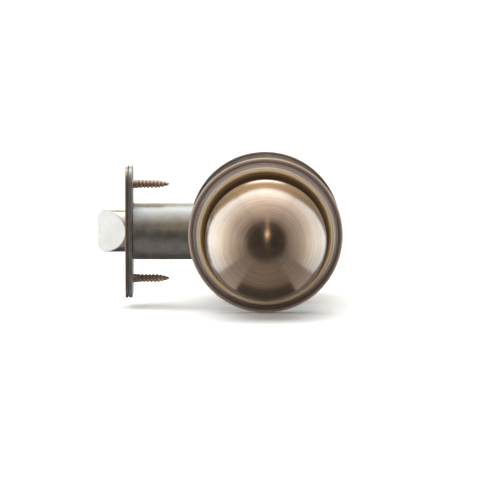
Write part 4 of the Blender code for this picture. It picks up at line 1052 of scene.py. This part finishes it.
def latch_plate(low, high):
    """A rounded plate with the bolt's opening and two screw holes, each a cone that widens forwards.

    Cone: radius = 2.35 mm up to a depth, then it grows as fast as the distance, to the front.
    """
    straight, depth = 2.35 * MM, 58.725 * MM
    outline = rounded_rectangle(57.15 / 2 * MM, 25.4 / 2 * MM, 6.35 * MM, 14)
    above, below = (max(straight, straight + height - depth) for height in (high, low))
    cones = [(above, below, (way * SCREW_RISE, 0)) for way in (1, -1)]
    return plate([outline, d_line(GAP, 0.4 * MM)], low, high, 0.2 * MM, 3, cones)


piece("faceplate", "latch_faceplate", "chassis", PLATE, latch_plate(59.625 * MM, FACE), ALONG)
piece("backplate", "latch_backplate", "chassis", ZINC, latch_plate(57.825 * MM, 59.325 * MM), ALONG)
piece("spring_bolt", "latch_bolt", "bolt", NICKEL, bolt(), ALONG, sharp=60)

tube = turned_part([[12.4, 57.525], [12.4, 31.0], [11.7, 31.0], [11.7, 57.525]], 0.2)
piece("edge_tube", "latch_tube", "chassis", ZINC, tube, ALONG)
stop = turned_part([[11.4, 36.0], [11.4, 34.5], [2.5, 34.5], [2.5, 36.0]], 0.2)
piece("stop_disc", "spring_stop", "chassis", ZINC, stop, ALONG)
tail = turned_part([[0, 62.5], [2.2, 62.5], [2.2, 25.5], [0, 25.5]], 0.35, FINE, closed=False)
piece("tail", "tail_rod", "bolt", ZINC, tail, ALONG)


def bolt_spring():
    """Helix of radius 4.2 mm and seven turns; its height stands almost still in both end turns."""
    turns, radius, base, height = 7, 4.2, 36.7, 21.1
    t = np.linspace(0, 1, 320)
    rise = 0.04 * t + 0.96 * np.clip((t - 0.1) / 0.8, 0, 1)
    return wire(polar(radius, 2 * np.pi * turns * t, base + height * rise) * MM, 0.4 * MM, 12)


bolt_coil = piece("bolt_coil", "bolt_spring", "chassis", SPRING, bolt_spring(), ALONG)
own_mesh(bolt_coil)

RIVETS = (("front_upper", -28.7, 7.8), ("front_lower", -28.7, -7.8),
          ("rear_upper", 25.0, 7.0), ("rear_lower", 25.0, -7.0))
SHEET = 1.2             # thickness of the latch's side plates and of the yoke's strips, in millimetres
side_outline = softened(np.array([
    [-34.2, 9.0], [-30.7, 9.0], [-30.7, 10.5], [24.5, 10.5], [27.5, 7.5], [27.5, -7.5], [24.5, -10.5],
    [-30.7, -10.5], [-30.7, -9.0], [-34.2, -9.0],
]) * MM, np.array([0.6, 0.2, 0.5, 1.5, 1.5, 1.5, 1.5, 0.5, 0.2, 0.6]) * MM)
holes = [ring(7.3 * MM, 72)] + [ring(1.5 * MM, 24, (x * MM, z * MM)) for _, x, z in RIVETS]
for side, low in (("exterior", 5.6), ("interior", -6.8)):
    shape = plate([side_outline, *holes], low * MM, (low + SHEET) * MM, 0.15 * MM)
    piece(f"{side}_case_side", f"{side}_latch_side", "chassis", ZINC, shape, ACROSS)

rivet_half = [[0, 7.7], [1.3, 7.66], [1.9, 7.4], [1.9, 7.1], [1.2, 7.1]]
rivet = turned_part(
    rivet_half + [[radius, -height] for radius, height in rivet_half[::-1]], 0.2, 28, closed=False, steps=3
)
for label, x, z in RIVETS:
    piece(f"{label}_rivet_pin", f"{label}_rivet", "chassis", ZINC, moved(rivet, (x * MM, z * MM, 0)), ACROSS)

def hub():
    """Barrel with a square hole, and two arms: stadiums that lean back by half the knob's turn."""
    lean = 36.0
    square = rounded_rectangle(HOLE_HALF, HOLE_HALF, 0.35 * MM, 4)
    shapes = [plate([ring(7.0 * MM, 96), square], -7.1 * MM, 7.1 * MM, 0.3 * MM, 3)]
    tip = arc(1.6 * MM, -38, 218, 26, (0, 10.8 * MM))
    root = np.array([[-1.0, 9.2], [-1.0, 6.2], [1.0, 6.2], [1.0, 9.2]]) * MM
    for turn in (lean, 180.0 - lean):
        arm = plate([np.vstack((tip, root))], -3.6 * MM, 3.6 * MM, 0.2 * MM)
        shapes.append(moved(arm, (0, 0, 0), spun(turn)))
    return shapes


def yoke():
    """Two slotted strips, two crossbars and the web that the tail rod is held in."""
    outline = rounded_rectangle(17.4 * MM, 10.4 * MM, 1.5 * MM, 6) + [-7.6 * MM, 0]
    slot = np.vstack((arc(7.3 * MM, -90, 90, 36), arc(7.3 * MM, 90, 270, 36, (-THROW, 0))))
    shapes = [plate([outline, slot], low * MM, (low + SHEET) * MM, 0.15 * MM) for low in (4.1, -5.3)]
    # The web is drawn across the tail rod, so its hole runs through it.
    web = [rounded_rectangle(6.0 * MM, 5.3 * MM, 0.4 * MM, 4), ring(2.5 * MM, 36)]
    to_case = np.array([[0, 0, -1], [1, 0, 0], [0, -1, 0]], float)
    shapes.append(moved(plate(web, 25.0 * MM, 31.0 * MM, 0.3 * MM), (0, 0, 0), to_case))
    for way in (1, -1):
        bar = rounded_rectangle(1.1 * MM, 1.0 * MM, 0.25 * MM, 4) + [-3.35 * MM, way * 9.4 * MM]
        shapes.append(plate([bar], -4.7 * MM, 4.7 * MM, 0.2 * MM))
    return shapes


piece("hub", "latch_hub", "hub", SINTERED, hub(), ACROSS)
piece("yoke", "latch_yoke", "bolt", ZINC, yoke(), ACROSS)

# Spindle, catch and the catch's spring
bar = rounded_rectangle(4.0 * MM, 4.0 * MM, 0.35 * MM, 5)
spindle_shape = plate([bar], -16.725 * MM, 16.725 * MM, 0.3 * MM, 3)
piece("square_bar", "spindle", "exterior_knob", DARK, spindle_shape, ACROSS)

catch_low, catch_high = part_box("knob_catch")
reach = -catch_high.z / MM
button = turned_part(
    [[0, 12.9], [0.9, 12.84], [1.4, 12.4], [1.4, reach + 1.0], [2.4, reach + 1.0], [2.4, reach], [0, reach]],
    [0, 0.4, 0.3, 0.05, 0.2, 0.2, 0], FINE, closed=False,
)
down = (np.diag([1.0, -1.0, -1.0]), np.array([0, (catch_low.y + catch_high.y) / 2, 0]))
piece("catch_button", "knob_catch", "catch", NICKEL, button, down)

low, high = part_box("catch_spring")
outer, middle = (high.z - low.z) / 2, -(high.z + low.z) / 2
strip = np.vstack((arc(outer, -70, 250, 70, (0, middle)), arc(outer - 0.5 * MM, 250, -70, 60, (0, middle))))
spring = plate([strip], low.y - DOOR / 2, high.y - DOOR / 2, 0.1 * MM)
catch_strip = piece("catch_strip", "catch_spring", "interior_knob", SPRING, spring, INTERIOR)
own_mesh(catch_strip)

# ---------------------------------------------------------------- floor, light and camera


def sheet(name, width, depth, place, colour, rough):
    """A level sheet of floor: x and y run evenly over its width and depth."""
    x, y = np.meshgrid(np.linspace(-width, width, 9), np.linspace(-depth, depth, 9), indexing="ij")
    shape = skin(np.stack((x, y, 0 * x), axis=2)[::-1], loop_columns=False)
    mesh = bpy.data.meshes.new(name)
    mesh.from_pydata(shape["points"] + np.array(place), [], shape["quads"].tolist())
    f = Finish("pale floor", 0.0, rough)
    tone = f.grain(6, 2.0)
    mesh.materials.append(f.done(f.ramp(tone, ((0.3, tuple(c * 0.985 for c in colour)), (0.7, colour)))))
    obj = placed(name, mesh)
    obj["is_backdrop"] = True
    return obj


def by_angle(*stops):
    """Stops given in degrees, for a ramp that runs from 0 to 180 degrees."""
    return [(degrees / 180, tone) for degrees, tone in stops]


def studio(view):
    """Softboxes seen from the piece, by angle from the direction the set faces and angle from overhead.

    Brightness = inside the boxes' outer edge, one of three profiles of the first angle, by sector of
    the second; outside it, a warm wall. Rays straight from the camera see a plain pale backdrop.
    """
    world = bpy.data.worlds.new("studio")
    world.use_nodes = True
    n = Nodes(world.node_tree)
    toward = np.array(view) / np.linalg.norm(view)
    right = np.array([1.0, 0.0, 0.0])
    over = np.cross(toward, right)
    d = n.add("TexCoord", {}, output="Generated")
    facing, aside, upward = (n.dot(d, tuple(way)) for way in (toward, right, over))
    turn = 1 / math.pi
    front = n.times(n.maths("ARCCOSINE", facing), turn)
    sector = n.times(n.maths("ARCTAN2", n.maths("ABSOLUTE", aside), upward), turn)

    # The boxes' outer edge
    edge = n.ramp(sector, by_angle(*((degrees, edge / 180) for degrees, edge in (
        (0, 115), (34, 114), (50, 122), (60, 131), (68, 135), (86, 154), (98, 154), (111, 149), (124, 140),
        (149, 145), (180, 145),
    ))))
    inside = n.maths("MULTIPLY_ADD", n.maths("SUBTRACT", edge, front), 60.0, 0.5, clamp=True)

    # What each box gives, from straight ahead to behind
    upper, middle, lower = (n.ramp(front, by_angle(*stops)) for stops in (
        ((0, 0.07), (36, 0.08), (42, 0.40), (50, 0.52), (70, 0.84), (88, 1.35), (104, 1.9), (160, 1.9)),
        ((0, 0.07), (35, 0.07), (43, 0.19), (50, 0.24), (70, 0.30), (92, 0.33), (140, 0.46)),
        ((0, 0.07), (35, 0.07), (43, 0.18), (54, 0.22), (80, 0.23), (100, 0.20), (105, 0.085), (160, 0.04)),
    ))
    warmth = n.ramp(front, ((0.2, (1.12, 0.98, 0.90)), (0.45, (1.0, 0.98, 0.94)), (0.6, (0.90, 1.0, 1.08))))
    fall = n.ramp(sector, by_angle(
        (0, 1.17), (20, 1.05), (34, 0.86), (60, 0.80), (90, 0.84), (106, 0.70), (122, 0.52), (140, 0.5),
    ))
    upper = n.tinted(n.tinted(upper, warmth), fall)
    middle = n.tinted(middle, (1.06, 0.98, 0.94))
    lower = n.tinted(lower, (1.12, 0.98, 0.86))
    boxes = n.mix(n.ramp(sector, by_angle((123.5, 0.0), (125.5, 1.0))), upper, middle)
    boxes = n.mix(n.ramp(sector, by_angle((147.5, 0.0), (149.5, 1.0))), boxes, lower)
    boxes = n.tinted(boxes, n.ramp(sector, by_angle((32.5, 1.0), (34, 0.84), (35.5, 1.0))))

    # The wall round the boxes, with a bright lamp high behind
    wall = n.ramp(sector, by_angle(
        (0, (0.78, 0.62, 0.38)), (32, (0.52, 0.40, 0.25)), (56, (0.34, 0.26, 0.18)),
        (85, (0.30, 0.25, 0.23)), (135, (0.20, 0.165, 0.15)), (180, (0.11, 0.085, 0.07)),
    ))
    behind = n.ramp(front, by_angle((145, 0.0), (149, 1.0)))
    overhead = n.ramp(sector, by_angle((9, 1.0), (21, 0.0)))
    wall = n.mix(n.times(behind, overhead), wall, (2.3, 2.25, 2.15))
    light = n.mix(inside, wall, boxes)

    # A narrow upright lamp in front, and the light's slow fall to the right
    height = n.maths("MULTIPLY_ADD", upward, 0.5, 0.5)
    strip = n.ramp(height, (
        (0.34, 0.0), (0.46, 0.12), (0.53, 0.35), (0.575, 2.4), (0.61, 2.4), (0.66, 0.55), (0.80, 0.40),
        (0.90, 0.0),
    ))
    beside = n.maths("ABSOLUTE", n.maths("SUBTRACT", aside, 0.045))
    narrow = n.ramp(beside, ((0.0, 1.0), (0.03, 0.7), (0.09, 0.0)))
    strip = n.tinted(strip, n.tinted(narrow, (1.0, 0.78, 0.46)))
    light = n.mix(n.maths("GREATER_THAN", facing, 0.3), light, n.mix(1.0, light, strip, "ADD"))
    light = n.tinted(light, n.maths("MULTIPLY_ADD", aside, -0.13, 1.0))
    seen = n.add("LightPath", {}, output="Is Camera Ray")
    light = n.mix(seen, light, (0.94, 0.94, 0.93))
    back = world.node_tree.nodes["Background"]
    world.node_tree.links.new(light, back.inputs["Color"])
    bpy.context.scene.world = world


floor = sheet("floor", 60, 60, (0, 0, cad_low.z), (0.93, 0.93, 0.92), 0.7)
floor.visible_glossy = False
eye_place, aim_place = np.array([-0.0067, -1.7165, 0.1328]), np.array([-0.0067, -0.0222, -0.0065])
studio(eye_place - aim_place)

for name, power, spread, tilt, swing in (("overhead", 1.6, 70, 14, -10), ("front", 1.5, 50, 58, -24)):
    soft = bpy.data.lights.new(name, "SUN")
    soft.energy, soft.angle = power, math.radians(spread)
    lamp = placed(name, soft)
    lamp.rotation_euler = (math.radians(tilt), 0, math.radians(swing))
    lamp.visible_glossy = False

camera = bpy.data.cameras.new("camera")
camera.sensor_width, camera.lens = 36.0, 284.0
camera.clip_start, camera.clip_end = 0.05, 200.0
eye = placed("camera", camera)
eye.location = eye_place
eye.rotation_euler = Vector(aim_place - eye_place).to_track_quat("-Z", "Y").to_euler()
bpy.context.scene.camera = eye
bpy.context.scene.view_settings.view_transform = "Standard"

low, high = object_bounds()
